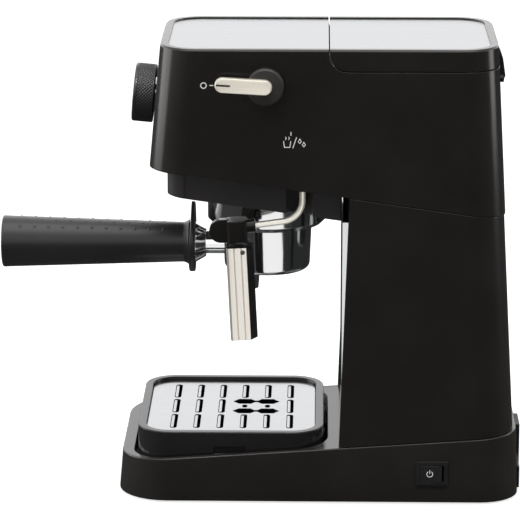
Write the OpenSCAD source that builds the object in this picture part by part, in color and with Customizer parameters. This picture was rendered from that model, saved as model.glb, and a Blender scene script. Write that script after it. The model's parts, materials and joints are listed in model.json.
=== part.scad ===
// Slim pump espresso machine with a steam wand.
// Millimetres. Origin on the table at the centre of the base; the front faces -X, +Z is up.

/* [Body] */
// Height of the top rim above the table
machine_h = 311.5; // [300:0.5:325]
// Width across the top rim
top_w = 130; // [128:0.5:138]
// Front edge of the top, ahead of the origin
front_reach = 108.1; // [104:0.1:116]
// Rear edge of the top, behind the origin
rear_reach = 118; // [113:0.5:122]
// Lean of the side walls, in degrees
side_draft = 2; // [1.5:0.1:2.5]
// Lean of the head's front face, in degrees
front_rake = 5.3; // [3:0.1:6]
// Lean of the rear wall, in degrees
rear_rake = 3.2; // [2:0.1:4]
// Plan radius of the head and column corners
body_corner_r = 25; // [16:1:30]
// Thickness of the plastic walls
wall = 2.5; // [2:0.1:3]
// Width of the rim round the top plates
rim_w = 5.5; // [4:0.5:7]
// Height of the rim above the top plates
rim_step = 1; // [0.6:0.1:1.6]
// Chamfer round the top edge
top_chamfer = 1.2; // [0.6:0.1:2]
// Thickness of the steel sheets
sheet_t = 0.8; // [0.6:0.1:1.2]
// Open joint between neighbouring covers
seam_gap = 0.5; // [0.3:0.1:0.8]

/* [Base] */
// Front end of the base on the table, ahead of the origin
base_front_reach = 138.5; // [135:0.5:145]
// Rear end of the base on the table, behind the origin
base_rear_reach = 136.1; // [132:0.1:145]
// Lean of the front end of the base, in degrees
base_front_rake = 5; // [3:0.1:6]
// Height of the base top at the origin
base_mid_h = 37.7; // [36:0.1:40]
// Slope of the base top, in degrees
base_slope = 4; // [3:0.1:4.5]
// Plan radius of the front corners of the base
base_front_r = 34; // [30:1:36]
// Plan radius of the rear corners of the base
base_rear_r = 27; // [22:1:32]
// Lean of the rear end of the base, in degrees
base_rear_rake = 2; // [1:0.5:9]
// Height of the feet below the base
foot_h = 1; // [0.6:0.1:2]
// Radius of the feet
foot_r = 8; // [6:0.5:9]
// Thickness of the bottom plate
base_plate_t = 2.4; // [2:0.1:3]

/* [Drip tray] */
// From the front end of the base to the tray
tray_front_room = 13.5; // [12:0.1:16]
// From the tray to the steel panel
tray_rear_room = 11.9; // [10:0.1:14]
// Width of the tray
tray_w = 136; // [132:0.5:137]
// Height of the tray rim above the table
tray_top_z = 47.6; // [46:0.2:52]
// Plan radius of the tray corners
tray_corner_r = 22; // [16:1:26]
// Gap round the tray in its well
tray_gap = 3; // [2:0.1:3.2]
// Thickness of the tray floor and walls
tray_wall = 2; // [1.6:0.1:2.4]
// Depth of the grid below the tray rim
grid_drop = 2.4; // [0.8:0.1:3]
// Width of the tray rim outside the grid
tray_rim_w = 6; // [3:0.1:7]
// Distance between the slot columns of the grid
slot_pitch = 16; // [15:0.1:16.4]
// Number of slot columns
slot_columns = 6; // [4:1:6]
// Length of a slot
slot_l = 31.6; // [26:0.2:32]
// Width of a slot
slot_w = 4.6; // [3:0.1:5]
// Distance between the slot rows
slot_row_pitch = 35.2; // [34.5:0.1:36]

/* [Head] */
// Depth of the head at the origin, from the top rim to its underside
head_h = 97; // [92:0.5:100]
// Slope of the head's underside, in degrees
head_slope = 8; // [7:0.1:9]
// Slope of the underside ahead of the lower housing, in degrees
nose_slope = 3.7; // [3:0.1:8]
// Thickness of the head's floor
floor_t = 3; // [2.5:0.1:3.5]
// Depth of the lower housing under the head
pod_h = 17.9; // [17:0.1:20]
// Width of the lower housing
pod_w = 124; // [118:0.5:126]
// Front of the lower housing, ahead of the origin
pod_reach = 103.5; // [100:0.5:105]
// Plan radius of the lower housing's front corners
pod_corner_r = 12.5; // [10:0.5:20]

/* [Column] */
// Step of the rear wall in from the head
column_step = 0.8; // [0:0.1:2]
// Front of the steel panel, behind the origin
panel_x = 14.3; // [13:0.1:15.5]
// Front edge of the side walls at the base, behind the origin
cheek_low_x = 12.7; // [11:0.1:14]
// Front edge of the side walls at the head, behind the origin
cheek_high_x = 18.4; // [17:0.1:19]

/* [Lid and tank] */
// Front edge of the lid, behind the origin
lid_x = 5.4; // [4:0.1:7]
// Depth of the lid
lid_h = 14.3; // [13:0.1:16]
// Radius of the lid's lower front corner
lid_seam_r = 11.5; // [8:0.5:12]
// Depth of the hinge pin below the top rim
hinge_drop = 27.3; // [25:0.1:30]
// Distance of the hinge pin from the rear wall
hinge_out = 2.7; // [2.6:0.1:4.5]
// Radius of the hinge pin
hinge_pin_r = 1.25; // [1:0.05:1.4]
// Length of the hinge
hinge_w = 27; // [22:0.5:34]
// Length of the water tank
tank_l = 95.5; // [88:0.5:96]
// Height of the water tank
tank_h = 123.2; // [116:0.2:125]
// Depth of the tank's open rim below the top
tank_drop = 18; // [17:0.1:22]
// Room between the tank and the side walls
tank_side = 6.1; // [5.8:0.1:10]
// Thickness of the tank's walls
tank_wall = 2; // [1.6:0.1:2.5]

/* [Group and portafilter] */
// Axis of the group, ahead of the origin
group_reach = 37.2; // [36:0.1:38]
// Depth of the group collar's lower edge below the head's underside at the origin
collar_drop = 34.4; // [33:0.1:36]
// Outer radius of the group collar
collar_r = 41; // [40:0.1:42]
// Thickness of the group collar
collar_t = 2.9; // [2.6:0.1:3.2]
// Outer radius of the bowl at its rim
bowl_r = 31.2; // [30.9:0.1:31.4]
// Outer radius of the bowl at its floor
bowl_floor_r = 29.6; // [28.5:0.1:30.2]
// Height of the bowl
bowl_h = 42.05; // [40:0.05:44]
// Inner radius of the bowl
bowl_bore_r = 28.1; // [27.9:0.1:28.2]
// Radius of the filter basket
basket_r = 27.4; // [26.5:0.1:27.5]
// Height of the filter basket
basket_h = 31; // [22:0.5:34]
// Height of the handle's axis above the bowl's underside
handle_rise = 16.95; // [15:0.05:19]
// Far end of the handle, ahead of the origin
handle_reach = 221.3; // [200:0.1:240]
// Radius of the handle at its far end
handle_end_r = 17.9; // [16:0.1:20]
// Radius of the handle beside its guard
handle_root_r = 13.8; // [12:0.1:15]
// Guard's front face, ahead of the origin
guard_reach = 91.1; // [90:0.1:94]
// Thickness of the guard
guard_t = 4.3; // [3.5:0.1:5]
// Turn of the portafilter between locked and free, in degrees
lock_turn = 45; // [40:1:50]

/* [Steam] */
// Axis of the steam wand's swivel, ahead of the origin
wand_reach = 12.5; // [11.5:0.1:14]
// Distance of the swivel from the middle plane
wand_side = 58.5; // [58:0.1:59.5]
// Radius of the steam pipe
pipe_r = 2.2; // [2:0.05:2.5]
// Bend radius of the steam pipe
pipe_bend_r = 15; // [13:0.5:16]
// Depth of the pipe's elbow below the head's underside at the origin
elbow_drop = 19.2; // [17:0.1:21]
// Fall of the pipe's arm, in degrees
arm_fall = 8.2; // [6:0.2:12]
// Axis of the froth sleeve at its top, ahead of the origin
sleeve_reach = 54.9; // [53.5:0.1:57]
// Depth of the sleeve's top below the pipe's elbow
sleeve_drop = 18.9; // [18:0.1:22]
// Length of the sleeve
sleeve_l = 64.2; // [55:0.2:66]
// Radius of the sleeve's rounded far side
sleeve_r = 9.2; // [8.8:0.1:9.8]
// Lean of the sleeve, in degrees
sleeve_lean = 2.9; // [2:0.1:4]
// Middle of the steam dial, ahead of the origin
dial_reach = 37.3; // [35:0.1:38]
// Depth of the steam dial's middle below the top
dial_drop = 24.3; // [23:0.1:27]
// Radius of the steam dial
dial_r = 12.4; // [11:0.1:13]
// Length of the steam lever
lever_l = 37.9; // [34:0.1:40]
// Width of the steam lever
lever_w = 10; // [9:0.1:12]

/* [Controls] */
// Radius of the selector knob
knob_r = 20; // [18:0.1:21]
// Length of the selector knob
knob_l = 14.4; // [12:0.1:16]
// Depth of the selector knob's axis below the top
knob_drop = 42.8; // [40:0.1:46]
// Middle of the power switch, behind the origin
switch_x = 76.2; // [70:0.2:90]
// Height of the power switch's middle
switch_z = 21.6; // [20:0.2:23]
// Length of the switch frame
switch_l = 21.8; // [20:0.1:23]
// Height of the switch frame
switch_h = 16.6; // [15:0.1:18]

/* [Hidden] */

$fn = 64;
hull_fn = 32; // facets on the corners of the lofted shells
slice = 0.01; // of a loft
big = 400; // longer than the machine
seat_gap = 0.15; // between pieces that sit in one another
move_gap = 0.35; // between pieces that pass one another
shaft_gap = 0.05; // radial clearance of shafts and pins

// ---- Outline of the body, and the sloping seams ----

function half_w(z) = top_w / 2 + (machine_h - z) * tan(side_draft);
function head_front(z) = -front_reach - (machine_h - z) * tan(front_rake);
function body_rear(z) = rear_reach + (machine_h - z) * tan(rear_rake);
function base_front(z) = -base_front_reach + z * tan(base_front_rake);
function base_rear(z) = base_rear_reach - z * tan(base_rear_rake);
function base_top(x) = base_mid_h + x * tan(base_slope);
function head_under(x) = head_mid_z - x * tan(head_slope);
function column_seam(x) = head_under(x) - seam_gap;
function cheek_x(z) = cheek_low_x + (z - base_mid_h) / (seam_rear_z - base_mid_h) * (cheek_high_x - cheek_low_x);

// A slice of the body: height, front, rear, half width, inset
function body_slice(z, inset = 0) = [z, head_front(z) + inset, body_rear(z) - inset, half_w(z) - inset, inset];
function base_slice(z, inset = 0) = [z, base_front(z) + inset, base_rear(z) - inset, half_w(z) - inset, inset];
function column_slice(z, front, inset = 0) =
    [z, front, body_rear(z) - column_step - inset, half_w(z) - inset, inset];
function with_front(s, x) = [s[0], x, s[2], s[3], s[4]];
function with_rear(s, x) = [s[0], s[1], x, s[3], s[4]];

// One smooth solid over a list of slices
module loft(slices, front_r, rear_r) {
    hull()
        for (s = slices)
            for (side = [-1, 1]) {
                rf = max(front_r - s[4], slice);
                rr = max(rear_r - s[4], slice);
                translate([s[1] + rf, side * (s[3] - rf), s[0]])
                    cylinder(r = rf, h = slice, $fn = hull_fn);
                translate([s[2] - rr, side * (s[3] - rr), s[0]])
                    cylinder(r = rr, h = slice, $fn = hull_fn);
            }
}

// A flat outline from x0 to x1 with true round corners
module rounded_outline(x0, x1, half, front_r, rear_r) {
    translate([x0 + front_r, -half])
        square([x1 - rear_r - x0 - front_r, 2 * half]);
    translate([x0, -half + front_r])
        square([front_r + slice, 2 * (half - front_r)]);
    translate([x1 - rear_r - slice, -half + rear_r])
        square([rear_r + slice, 2 * (half - rear_r)]);
    for (side = [-1, 1]) {
        translate([x0 + front_r, side * (half - front_r)])
            circle(r = front_r);
        translate([x1 - rear_r, side * (half - rear_r)])
            circle(r = rear_r);
    }
}

// A side view outline drawn in X and Z, as deep as half to each side
module side_profile(points, half = big / 2) {
    rotate([90, 0, 0])
        linear_extrude(2 * half, center = true)
            polygon(points);
}

// A front view outline drawn in Y and Z, from x0 to x1
module front_profile(points, x0, x1) {
    translate([x0, 0, 0])
        rotate([90, 0, 90])
            linear_extrude(x1 - x0)
                polygon(points);
}

// The space between two heights inside the leaning side walls
function leaning_sides(z0, z1, inset) = [
    [-half_w(z0) + inset, z0], [half_w(z0) - inset, z0],
    [half_w(z1) - inset, z1], [-half_w(z1) + inset, z1]
];

module box(x0, x1, y0, y1, z0, z1) {
    translate([x0, y0, z0])
        cube([x1 - x0, y1 - y0, z1 - z0]);
}

module post(x, y, z0, z1, r) {
    translate([x, y, z0])
        cylinder(r = r, h = z1 - z0);
}

// A round bar along X or Y
module bar_x(x0, x1, y, z, r) {
    translate([x0, y, z])
        rotate([0, 90, 0])
            cylinder(r = r, h = x1 - x0);
}

module bar_y(x, y0, y1, z, r) {
    translate([x, y0, z])
        rotate([-90, 0, 0])
            cylinder(r = r, h = y1 - y0);
}

// On the near side wall: local z outwards, local y upwards
module on_near_side(x, z) {
    translate([x, -half_w(z), z])
        rotate([90 - side_draft, 0, 0])
            children();
}

// On the head's front face: local z outwards
module on_head_front(y, z) {
    translate([head_front(z), y, z])
        rotate([0, front_rake - 90, 0])
            children();
}

function unit(v) = v / norm(v);

// A round bar between two points
module rod(a, b, r) {
    d = b - a;
    translate(a)
        rotate([0, acos(d[2] / norm(d)), atan2(d[1], d[0])])
            cylinder(r = r, h = norm(d));
}

// A square elbow from u to v with its corner at p
module elbow(p, u, v, bend, r) {
    w = cross(-v, u);
    c = p - u * bend + v * bend;
    multmatrix([
        [-v[0], u[0], w[0], c[0]],
        [-v[1], u[1], w[1], c[1]],
        [-v[2], u[2], w[2], c[2]],
        [0, 0, 0, 1]
    ])
        rotate_extrude(angle = 90)
            translate([bend, 0])
                circle(r = r);
}

// A hose along points joined by square bends
module hose(points, bend, r) {
    last = len(points) - 1;
    for (i = [0:last - 1]) {
        d = unit(points[i + 1] - points[i]);
        rod(points[i] + (i > 0 ? bend : 0) * d,
            points[i + 1] - (i < last - 1 ? bend : 0) * d, r);
        if (i < last - 1)
            elbow(points[i + 1], d, unit(points[i + 2] - points[i + 1]), bend, r);
    }
}

// ---- Shared places ----

head_mid_z = machine_h - head_h; // underside of the head at the origin
seam_rear_z = head_under(rear_reach);
plate_z = machine_h - rim_step; // top of the steel plates
deck_z = plate_z - sheet_t;
lid_gap = 0.8; // between the lid and the head
tray_x0 = -base_front_reach + tray_front_room;
tray_x1 = panel_x - tray_rear_room;
tray_mid_x = (tray_x0 + tray_x1) / 2;
well_floor_z = 9; // top of the tray well's floor
tray_z = well_floor_z + move_gap;
pocket_wall = 2; // thickness of the tray well
pilot_r = 1.25; // screw holes
screw_r = pilot_r - shaft_gap;
group_x = -group_reach;
wand_x = -wand_reach;
wand_y = -wand_side;
bulkhead_x = panel_x - 0.3; // wall between the works and the tank bay
tank_x0 = bulkhead_x + wall + 1;
tank_x1 = tank_x0 + tank_l;
lid_seam_z = machine_h - lid_h;
hinge_z = machine_h - hinge_drop;
tank_top_z = machine_h - tank_drop;
tank_z = tank_top_z - tank_h;
tank_w = 2 * (half_w(tank_top_z) - wall - tank_side);
collar_z = head_mid_z - collar_drop;
pipe_elbow_z = head_mid_z - elbow_drop;
sleeve_top_z = pipe_elbow_z - sleeve_drop;
dial_z = machine_h - dial_drop;
knob_z = machine_h - knob_drop;
ledge_z = lid_seam_z - 3; // deck below the lid's front edge
lid_wall = 2.2;

// ---- Base ----

base_z = foot_h;
screw_places = [
    [tray_x0 - tray_gap + 5.5, -56], [tray_x0 - tray_gap + 5.5, 56],
    [base_rear_reach - 14.6, -48], [base_rear_reach - 14.6, 48]
];
screw_boss_top = [8, 8, 60, 60];
pilot_top = 7.8;
boss_r = 3;

module base_top_cut(drop = 0) {
    side_profile([
        [-big, base_top(-big) - drop], [big, base_top(big) - drop],
        [big, big], [-big, big]
    ]);
}

module tray_well(grow, z) {
    translate([0, 0, z])
        linear_extrude(big / 4)
            rounded_outline(tray_x0 - tray_gap - grow, tray_x1 + tray_gap + grow,
                tray_w / 2 + tray_gap + grow, tray_corner_r + tray_gap + grow,
                tray_corner_r + tray_gap + grow);
}

module base_shell() {
    color("#1c1b1b")
        difference() {
            loft([base_slice(base_z), base_slice(machine_h / 5)], base_front_r, base_rear_r);
            base_top_cut();
            difference() {
                loft([base_slice(base_z - 1, wall), base_slice(machine_h / 5, wall)],
                    base_front_r, base_rear_r);
                base_top_cut(wall);
                tray_well(pocket_wall, well_floor_z - pocket_wall);
                for (i = [0:3])
                    post(screw_places[i][0], screw_places[i][1], base_z + base_plate_t,
                        screw_boss_top[i], boss_r);
            }
            tray_well(0, well_floor_z);
            for (i = [0:3])
                post(screw_places[i][0], screw_places[i][1], 0, pilot_top, pilot_r);
            on_near_side(switch_x, switch_z)
                translate([-switch_hole_l / 2, -switch_hole_h / 2, -3 * wall])
                    cube([switch_hole_l, switch_hole_h, 4 * wall]);
            box(base_rear_reach - 20, big, -gland_w / 2, gland_w / 2, gland_z0, gland_z1);
            // cable way between the base and the column
            box(panel_x + 40, base_rear_reach - 30, -20, 20, base_mid_h - 5, big / 4);
        }
}

plate_half = half_w(base_z) - wall - 0.4;
plate_top_z = base_z + base_plate_t;
board_x1 = base_rear_reach - 20.1;
board_x0 = board_x1 - 50;
board_half = 26;
board_z = plate_top_z + 6;
board_t = 1.6;
board_inset = 4;
stem_r = 2.5;
foot_seat = 0.8; // depth of the feet's wells

foot_places = [
    for (x = [-base_front_reach + 30, base_rear_reach - 27.6])
        for (y = [-plate_half + 19, plate_half - 19])
            [x, y]
];

module base_plate() {
    color("#232323")
        difference() {
            union() {
                translate([0, 0, base_z])
                    linear_extrude(base_plate_t)
                        rounded_outline(base_front(base_z) + wall + 0.6,
                            base_rear(plate_top_z) - wall - 0.4, plate_half,
                            base_front_r - wall, base_rear_r - wall);
                for (x = [board_x0 + board_inset, board_x1 - board_inset])
                    for (side = [-1, 1])
                        post(x, side * (board_half - board_inset), plate_top_z, board_z, 3);
            }
            for (p = screw_places)
                post(p[0], p[1], 0, base_z + 2 * base_plate_t, pilot_r + 0.3);
            for (p = screw_places)
                post(p[0], p[1], 0, base_z + screw_head_t, screw_head_r + 0.3);
            for (p = foot_places) {
                post(p[0], p[1], 0, base_z + 2 * base_plate_t, stem_r + shaft_gap);
                post(p[0], p[1], 0, base_z + foot_seat, foot_r + 0.3);
            }
        }
}

module rubber_feet() {
    color("#111111")
        for (p = foot_places) {
            post(p[0], p[1], 0, base_z + foot_seat, foot_r);
            post(p[0], p[1], base_z + foot_seat, plate_top_z, stem_r);
            post(p[0], p[1], plate_top_z, plate_top_z + 1.2, stem_r + 0.8);
        }
}

screw_head_t = 1.2;
screw_head_r = 2.6;

module base_screws() {
    color("#b8b8b8")
        for (i = [0:3]) {
            p = screw_places[i];
            post(p[0], p[1], base_z, base_z + screw_head_t, screw_head_r);
            post(p[0], p[1], base_z + screw_head_t, pilot_top - 1, screw_r);
        }
}

module control_board() {
    color("#1f5a34") {
        box(board_x0, board_x1, -board_half, board_half, board_z, board_z + board_t);
        // relay, capacitor and mains terminals
        box(board_x0 + 6, board_x0 + 24, -18, -6, board_z + board_t, board_z + board_t + 14);
        post(board_x1 - 14, -12, board_z + board_t, board_z + board_t + 16, 6);
        box(board_x0 + 6, board_x1 - 16, 8, 18, board_z + board_t, board_z + board_t + 10);
    }
}

gland_w = 20;
gland_z0 = 14;
gland_z1 = 37;
gland_out = 3.3; // of the inlet behind the base
bumper_half = 46;
bumper_out = 1.5;
gland_bore_r = 3.6;
gland_flange = 3;

module cord_gland() {
    flange_x = base_rear(gland_z1 + gland_flange) - wall - 0.05;
    color("#151515")
        difference() {
            union() {
                box(flange_x - 4, base_rear_reach + gland_out, -gland_w / 2 + seat_gap,
                    gland_w / 2 - seat_gap, gland_z0 + seat_gap, gland_z1 - seat_gap);
                box(base_rear_reach, base_rear_reach + gland_out, -gland_w / 2 - 3, gland_w / 2 + 3,
                    base_z + 2, gland_z1);
                // bumper along the foot of the rear wall
                box(base_rear_reach, base_rear_reach + bumper_out, -bumper_half, bumper_half,
                    base_z + 1, gland_z0 + 3);
                box(flange_x - 4, flange_x, -gland_w / 2 - gland_flange, gland_w / 2 + gland_flange,
                    gland_z0 - gland_flange, gland_z1 + gland_flange - 0.2);
            }
            bar_x(flange_x - 10, big, 0, (gland_z0 + gland_z1) / 2, gland_bore_r);
        }
}

// ---- Power switch ----

switch_frame_t = 1.2;
switch_depth = 15;
switch_hole_l = switch_l - 2;
switch_hole_h = switch_h - 2;
rocker_l = 14.6;
rocker_h = 10.8;
rocker_space = 0.75; // at the rocker's ends
rocker_pivot = 3; // depth of the rocker's axis
rocker_pin_r = 1;
rocker_half_turn = 7;
rocker_rise = 2.2;

module switch_frame() {
    color("#141414")
        on_near_side(switch_x, switch_z)
            difference() {
                union() {
                    translate([-switch_l / 2, -switch_h / 2, 0.1])
                        cube([switch_l, switch_h, switch_frame_t]);
                    translate([-switch_hole_l / 2 + seat_gap, -switch_hole_h / 2 + seat_gap, -switch_depth])
                        cube([switch_hole_l - 2 * seat_gap, switch_hole_h - 2 * seat_gap, switch_depth + 1]);
                }
                translate([-rocker_l / 2 - rocker_space, -rocker_h / 2 - 0.3, -switch_depth + 3])
                    cube([rocker_l + 2 * rocker_space, rocker_h + 0.6, switch_depth + 3]);
                translate([0, 0, -rocker_pivot])
                    rotate([90, 0, 0])
                        cylinder(r = rocker_pin_r + shaft_gap, h = rocker_h + 2.4, center = true);
            }
}

module power_rocker() {
    color("#1a1a1a")
        on_near_side(switch_x, switch_z)
            translate([0, 0, -rocker_pivot])
                rotate([90, 0, 0]) {
                    rotate([0, 0, rocker_half_turn])
                        linear_extrude(rocker_h, center = true)
                            polygon([
                                [-rocker_l / 2, rocker_pivot + rocker_rise], [0, rocker_pivot + rocker_rise - 0.9],
                                [rocker_l / 2, rocker_pivot + rocker_rise], [rocker_l / 2, -0.5],
                                [2, -4.5], [-2, -4.5], [-rocker_l / 2, -0.5]
                            ]);
                    cylinder(r = rocker_pin_r, h = rocker_h + 2, center = true);
                }
}

// ---- Column ----

flange_x1 = panel_x + 8; // rear edge of its side flanges

module column_shell() {
    low_z = base_mid_h / 2;
    high_z = column_seam(0) + 10;
    color("#1c1b1b")
        difference() {
            loft([column_slice(low_z, 0), column_slice(high_z, 0)], slice, body_corner_r);
            difference() {
                loft([column_slice(low_z - 1, -5, wall), column_slice(high_z + 1, -5, wall)], slice, body_corner_r);
                // rails that carry the tank seat
                for (side = [-1, 1])
                    box(tank_x0 + 16, tank_x1 - 12, side > 0 ? half_w(seat_z) - wall - rail_w : -big,
                        side > 0 ? big : -half_w(seat_z) + wall + rail_w, seat_z - seat_t - 6, seat_z - seat_t);
            }
            below_column();
            // sloping front edge of the side walls
            side_profile([[-big, 0], [cheek_x(0), 0], [cheek_x(big), big], [-big, big]]);
            // seam under the head
            side_profile([
                [-10, column_seam(-10)], [big, column_seam(big)], [big, big], [-10, big]
            ]);
        }
}

module below_column() {
    side_profile([
        [-big, -big], [big, -big], [big, base_top(big) + seam_gap], [-big, base_top(-big) + seam_gap]
    ]);
}

module column_front_panel() {
    low_z = base_top(panel_x) + seam_gap + 0.6;
    high_z = head_under(panel_x) - pod_h;
    inset = wall + seat_gap;
    color("#d8dadc")
        difference() {
            front_profile(leaning_sides(low_z, high_z, inset), panel_x, flange_x1);
            front_profile(leaning_sides(low_z - 1, high_z + 1, inset + sheet_t), panel_x + sheet_t, flange_x1 + 1);
        }
}

// ---- Head ----

head_low_z = seam_rear_z - 12;
nose_x = -pod_reach + 17.5;

// Everything above the lid's lower edge, drawn g outside it
function lid_outline(g) = concat(
    [[lid_x - g, big], [lid_x - g, lid_seam_z + lid_seam_r]],
    [for (a = [10:16:90])
        [lid_x + lid_seam_r - (lid_seam_r + g) * cos(a), lid_seam_z + lid_seam_r - (lid_seam_r + g) * sin(a)]],
    [[big, lid_seam_z - g], [big, big]]
);

module lid_region(g) {
    side_profile(lid_outline(g));
}

module head_outer() {
    loft([body_slice(head_low_z), body_slice(machine_h - top_chamfer), body_slice(machine_h, top_chamfer)],
        body_corner_r, body_corner_r);
}

notch_half = hinge_w / 2 + 0.6;

module head_shell() {
    roof_z = deck_z - wall;
    rear_end = lid_x - lid_gap - wall;
    color("#1c1b1b")
        difference() {
            head_outer();
            // space for the works, in front of the tank
            loft([with_rear(body_slice(head_low_z - 1, wall), rear_end),
                with_rear(body_slice(roof_z, wall), rear_end)], body_corner_r, slice);
            front_profile(leaning_sides(head_low_z - 1, ledge_z - wall, wall), rear_end - 5, bulkhead_x);
            // tank bay and the shallow deck in front of it
            loft([with_front(body_slice(head_low_z - 1, wall), bulkhead_x + wall),
                with_front(body_slice(machine_h + 1, wall), bulkhead_x + wall)], slice, body_corner_r);
            front_profile(leaning_sides(ledge_z, machine_h + 1, wall), rear_end + wall, bulkhead_x + wall + 5);
            lid_region(lid_gap);
            // underside, with a flatter nose
            side_profile([
                [-big, 0], [big, 0], [big, head_under(big)], [nose_x, head_under(nose_x)],
                [-big, head_under(nose_x) + (big + nose_x) * tan(nose_slope)]
            ]);
            translate([0, 0, deck_z])
                linear_extrude(big)
                    rounded_outline(head_front(plate_z) + rim_w, lid_x - lid_gap + 5, half_w(plate_z) - rim_w,
                        body_corner_r - rim_w, 1);
            // slot for the hinge and its bridge
            box(rear_reach - 8, rear_reach + 20, -notch_half, notch_half, bridge_z0 - 2.5, big);
            on_head_front(0, knob_z)
                cylinder(r = shaft_r + 1, h = 4 * wall, center = true);
            on_head_front(-lens_y, lens_z)
                cylinder(r = lens_r + shaft_gap, h = 4 * wall, center = true);
            on_near_side(-dial_reach, dial_z)
                cylinder(r = stem_shaft_r + 1, h = 4 * wall, center = true);
            // hole for the pressure hose through the bulkhead
            bar_x(bulkhead_x - 5, bulkhead_x + wall + 3, hose_side_y, hose_high_z, hose_r + 0.4);
        }
}

module head_top_plate() {
    color("#e4e6e8")
        translate([0, 0, deck_z])
            linear_extrude(sheet_t)
                rounded_outline(head_front(plate_z) + rim_w + seat_gap, lid_x - lid_gap,
                    half_w(plate_z) - rim_w - seat_gap, body_corner_r - rim_w - seat_gap, 1);
}

flange_z = head_mid_z + 18.5; // underside of the group's flange
flange_t = 5;
flange_half_x = 42;
flange_half_y = 40;
flange_bolt_x = 37;
flange_bolt_y = 35.2;
floor_post_r = 4.4;
bush_boss_z = head_mid_z + 7.5;

module floor_slab(lift0, lift1) {
    side_profile([
        [-big, head_under(-big) + lift0], [big, head_under(big) + lift0],
        [big, head_under(big) + lift1], [-big, head_under(-big) + lift1]
    ]);
}

module group_bolt_posts(z0, z1, r) {
    for (sx = [-1, 1])
        for (sy = [-1, 1])
            post(group_x + sx * flange_bolt_x, sy * flange_bolt_y, z0, z1, r);
}

module head_floor() {
    floor_rear = bulkhead_x - seat_gap;
    color("#222122")
        difference() {
            union() {
                intersection() {
                    loft([with_rear(body_slice(head_low_z, wall + seat_gap), floor_rear),
                        with_rear(body_slice(head_low_z + 60, wall + seat_gap), floor_rear)],
                        body_corner_r, slice);
                    floor_slab(0, floor_t);
                }
                intersection() {
                    union() {
                        group_bolt_posts(head_mid_z - 10, flange_z, floor_post_r);
                        post(wand_x, wand_y, head_mid_z - 10, bush_boss_z, bush_flange_r);
                    }
                    floor_slab(1, big);
                }
            }
            post(group_x, 0, head_low_z, big, group_r + 0.4);
            post(wand_x, wand_y, head_low_z, big, bush_r + shaft_gap);
            group_bolt_posts(head_mid_z + 4, big, pilot_r);
        }
}

niche_x = wand_x - 2;
niche_r = 9;

module pod_outline(inset) {
    difference() {
        rounded_outline(-pod_reach + inset, bulkhead_x - inset, pod_w / 2 - inset,
            pod_corner_r - inset, 2);
        translate([niche_x, -pod_w / 2])
            circle(r = niche_r + inset);
    }
}

module group_pod() {
    color("#29272a")
        difference() {
            intersection() {
                translate([0, 0, head_low_z - 20])
                    linear_extrude(big)
                        pod_outline(0);
                floor_slab(-pod_h, -0.05);
            }
            intersection() {
                translate([0, 0, head_low_z - 20])
                    linear_extrude(big)
                        pod_outline(wall);
                floor_slab(-pod_h + wall, 10);
            }
            post(group_x, 0, 0, big, collar_r + seat_gap);
            // moulding seam
            for (side = [-1, 1])
                box(-91.2, -90.8, side > 0 ? pod_w / 2 - 0.4 : -big, side > 0 ? big : -pod_w / 2 + 0.4, 0, big);
        }
}

// ---- Group ----

group_r = collar_r - collar_t - 0.1;
lip_t = 3.3;
lug_z = collar_z + lip_t + 0.35;
lug_t = 3.8;
lug_r = group_r - 1.6;
lug_angle = 50;
slot_angle = lug_angle + 6;
group_z = lug_z + lug_t + 0.35;
bowl_rim_z = lug_z + lug_t + 1.7;
bowl_z = bowl_rim_z - bowl_h;
handle_z = bowl_z + handle_rise;
collar_top_z = head_mid_z - 2.4;
rim_t = 0.8;
gasket_z = bowl_rim_z + rim_t + 0.3;
gasket_t = 6.5;
gasket_r = 32.3;
gasket_bore_r = 26.2;
screen_z = gasket_z + 1.2;

module group_head() {
    color("#9a9a98")
        difference() {
            union() {
                post(group_x, 0, group_z, flange_z + 1, group_r);
                translate([0, 0, flange_z])
                    linear_extrude(flange_t)
                        rounded_outline(group_x - flange_half_x, group_x + flange_half_x, flange_half_y, 8, 8);
            }
            difference() {
                post(group_x, 0, group_z - 1, gasket_z + gasket_t, gasket_r + seat_gap);
                post(group_x, 0, screen_z + 1, big, 12);
            }
            post(group_x, 0, gasket_z, gasket_z + 12, screw_r + shaft_gap);
            group_bolt_posts(flange_z - 1, flange_z + flange_t + 1, pilot_r + 0.3);
        }
}

module group_collar() {
    bevel = 3.2;
    lip_r = bowl_r + 1;
    color("#d9dadb")
        translate([group_x, 0, 0])
            difference() {
                rotate_extrude()
                    polygon([
                        [lip_r, collar_z], [collar_r - bevel, collar_z], [collar_r, collar_z + bevel],
                        [collar_r, collar_top_z], [collar_r - collar_t, collar_top_z],
                        [collar_r - collar_t, collar_z + lip_t], [lip_r, collar_z + lip_t]
                    ]);
                for (side = [0, 180])
                    rotate([0, 0, 90 - lock_turn - slot_angle / 2 + side])
                        rotate_extrude(angle = slot_angle)
                            translate([lip_r - 1, collar_z - 1])
                                square([lug_r + 0.5 - lip_r + 1, lip_t + 2]);
            }
}

module group_gasket() {
    color("#3a2a24")
        difference() {
            post(group_x, 0, gasket_z, gasket_z + gasket_t, gasket_r);
            post(group_x, 0, gasket_z - 1, gasket_z + gasket_t + 1, gasket_bore_r);
        }
}

module shower_screen() {
    color("#c8c9ca")
        difference() {
            post(group_x, 0, screen_z, screen_z + 1, gasket_bore_r - 0.3);
            post(group_x, 0, screen_z - 1, screen_z + 2, screw_r + shaft_gap);
            for (ring = [1:2])
                for (a = [0:360 / (6 * ring):359])
                    translate([group_x, 0, 0])
                        rotate([0, 0, a])
                            post(ring * 10, 0, screen_z - 1, screen_z + 2, 1);
        }
}

module screen_screw() {
    color("#b8b8b8") {
        post(group_x, 0, screen_z - 1.2, screen_z, 3.4);
        post(group_x, 0, screen_z, screen_z + 9, screw_r);
    }
}

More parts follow.
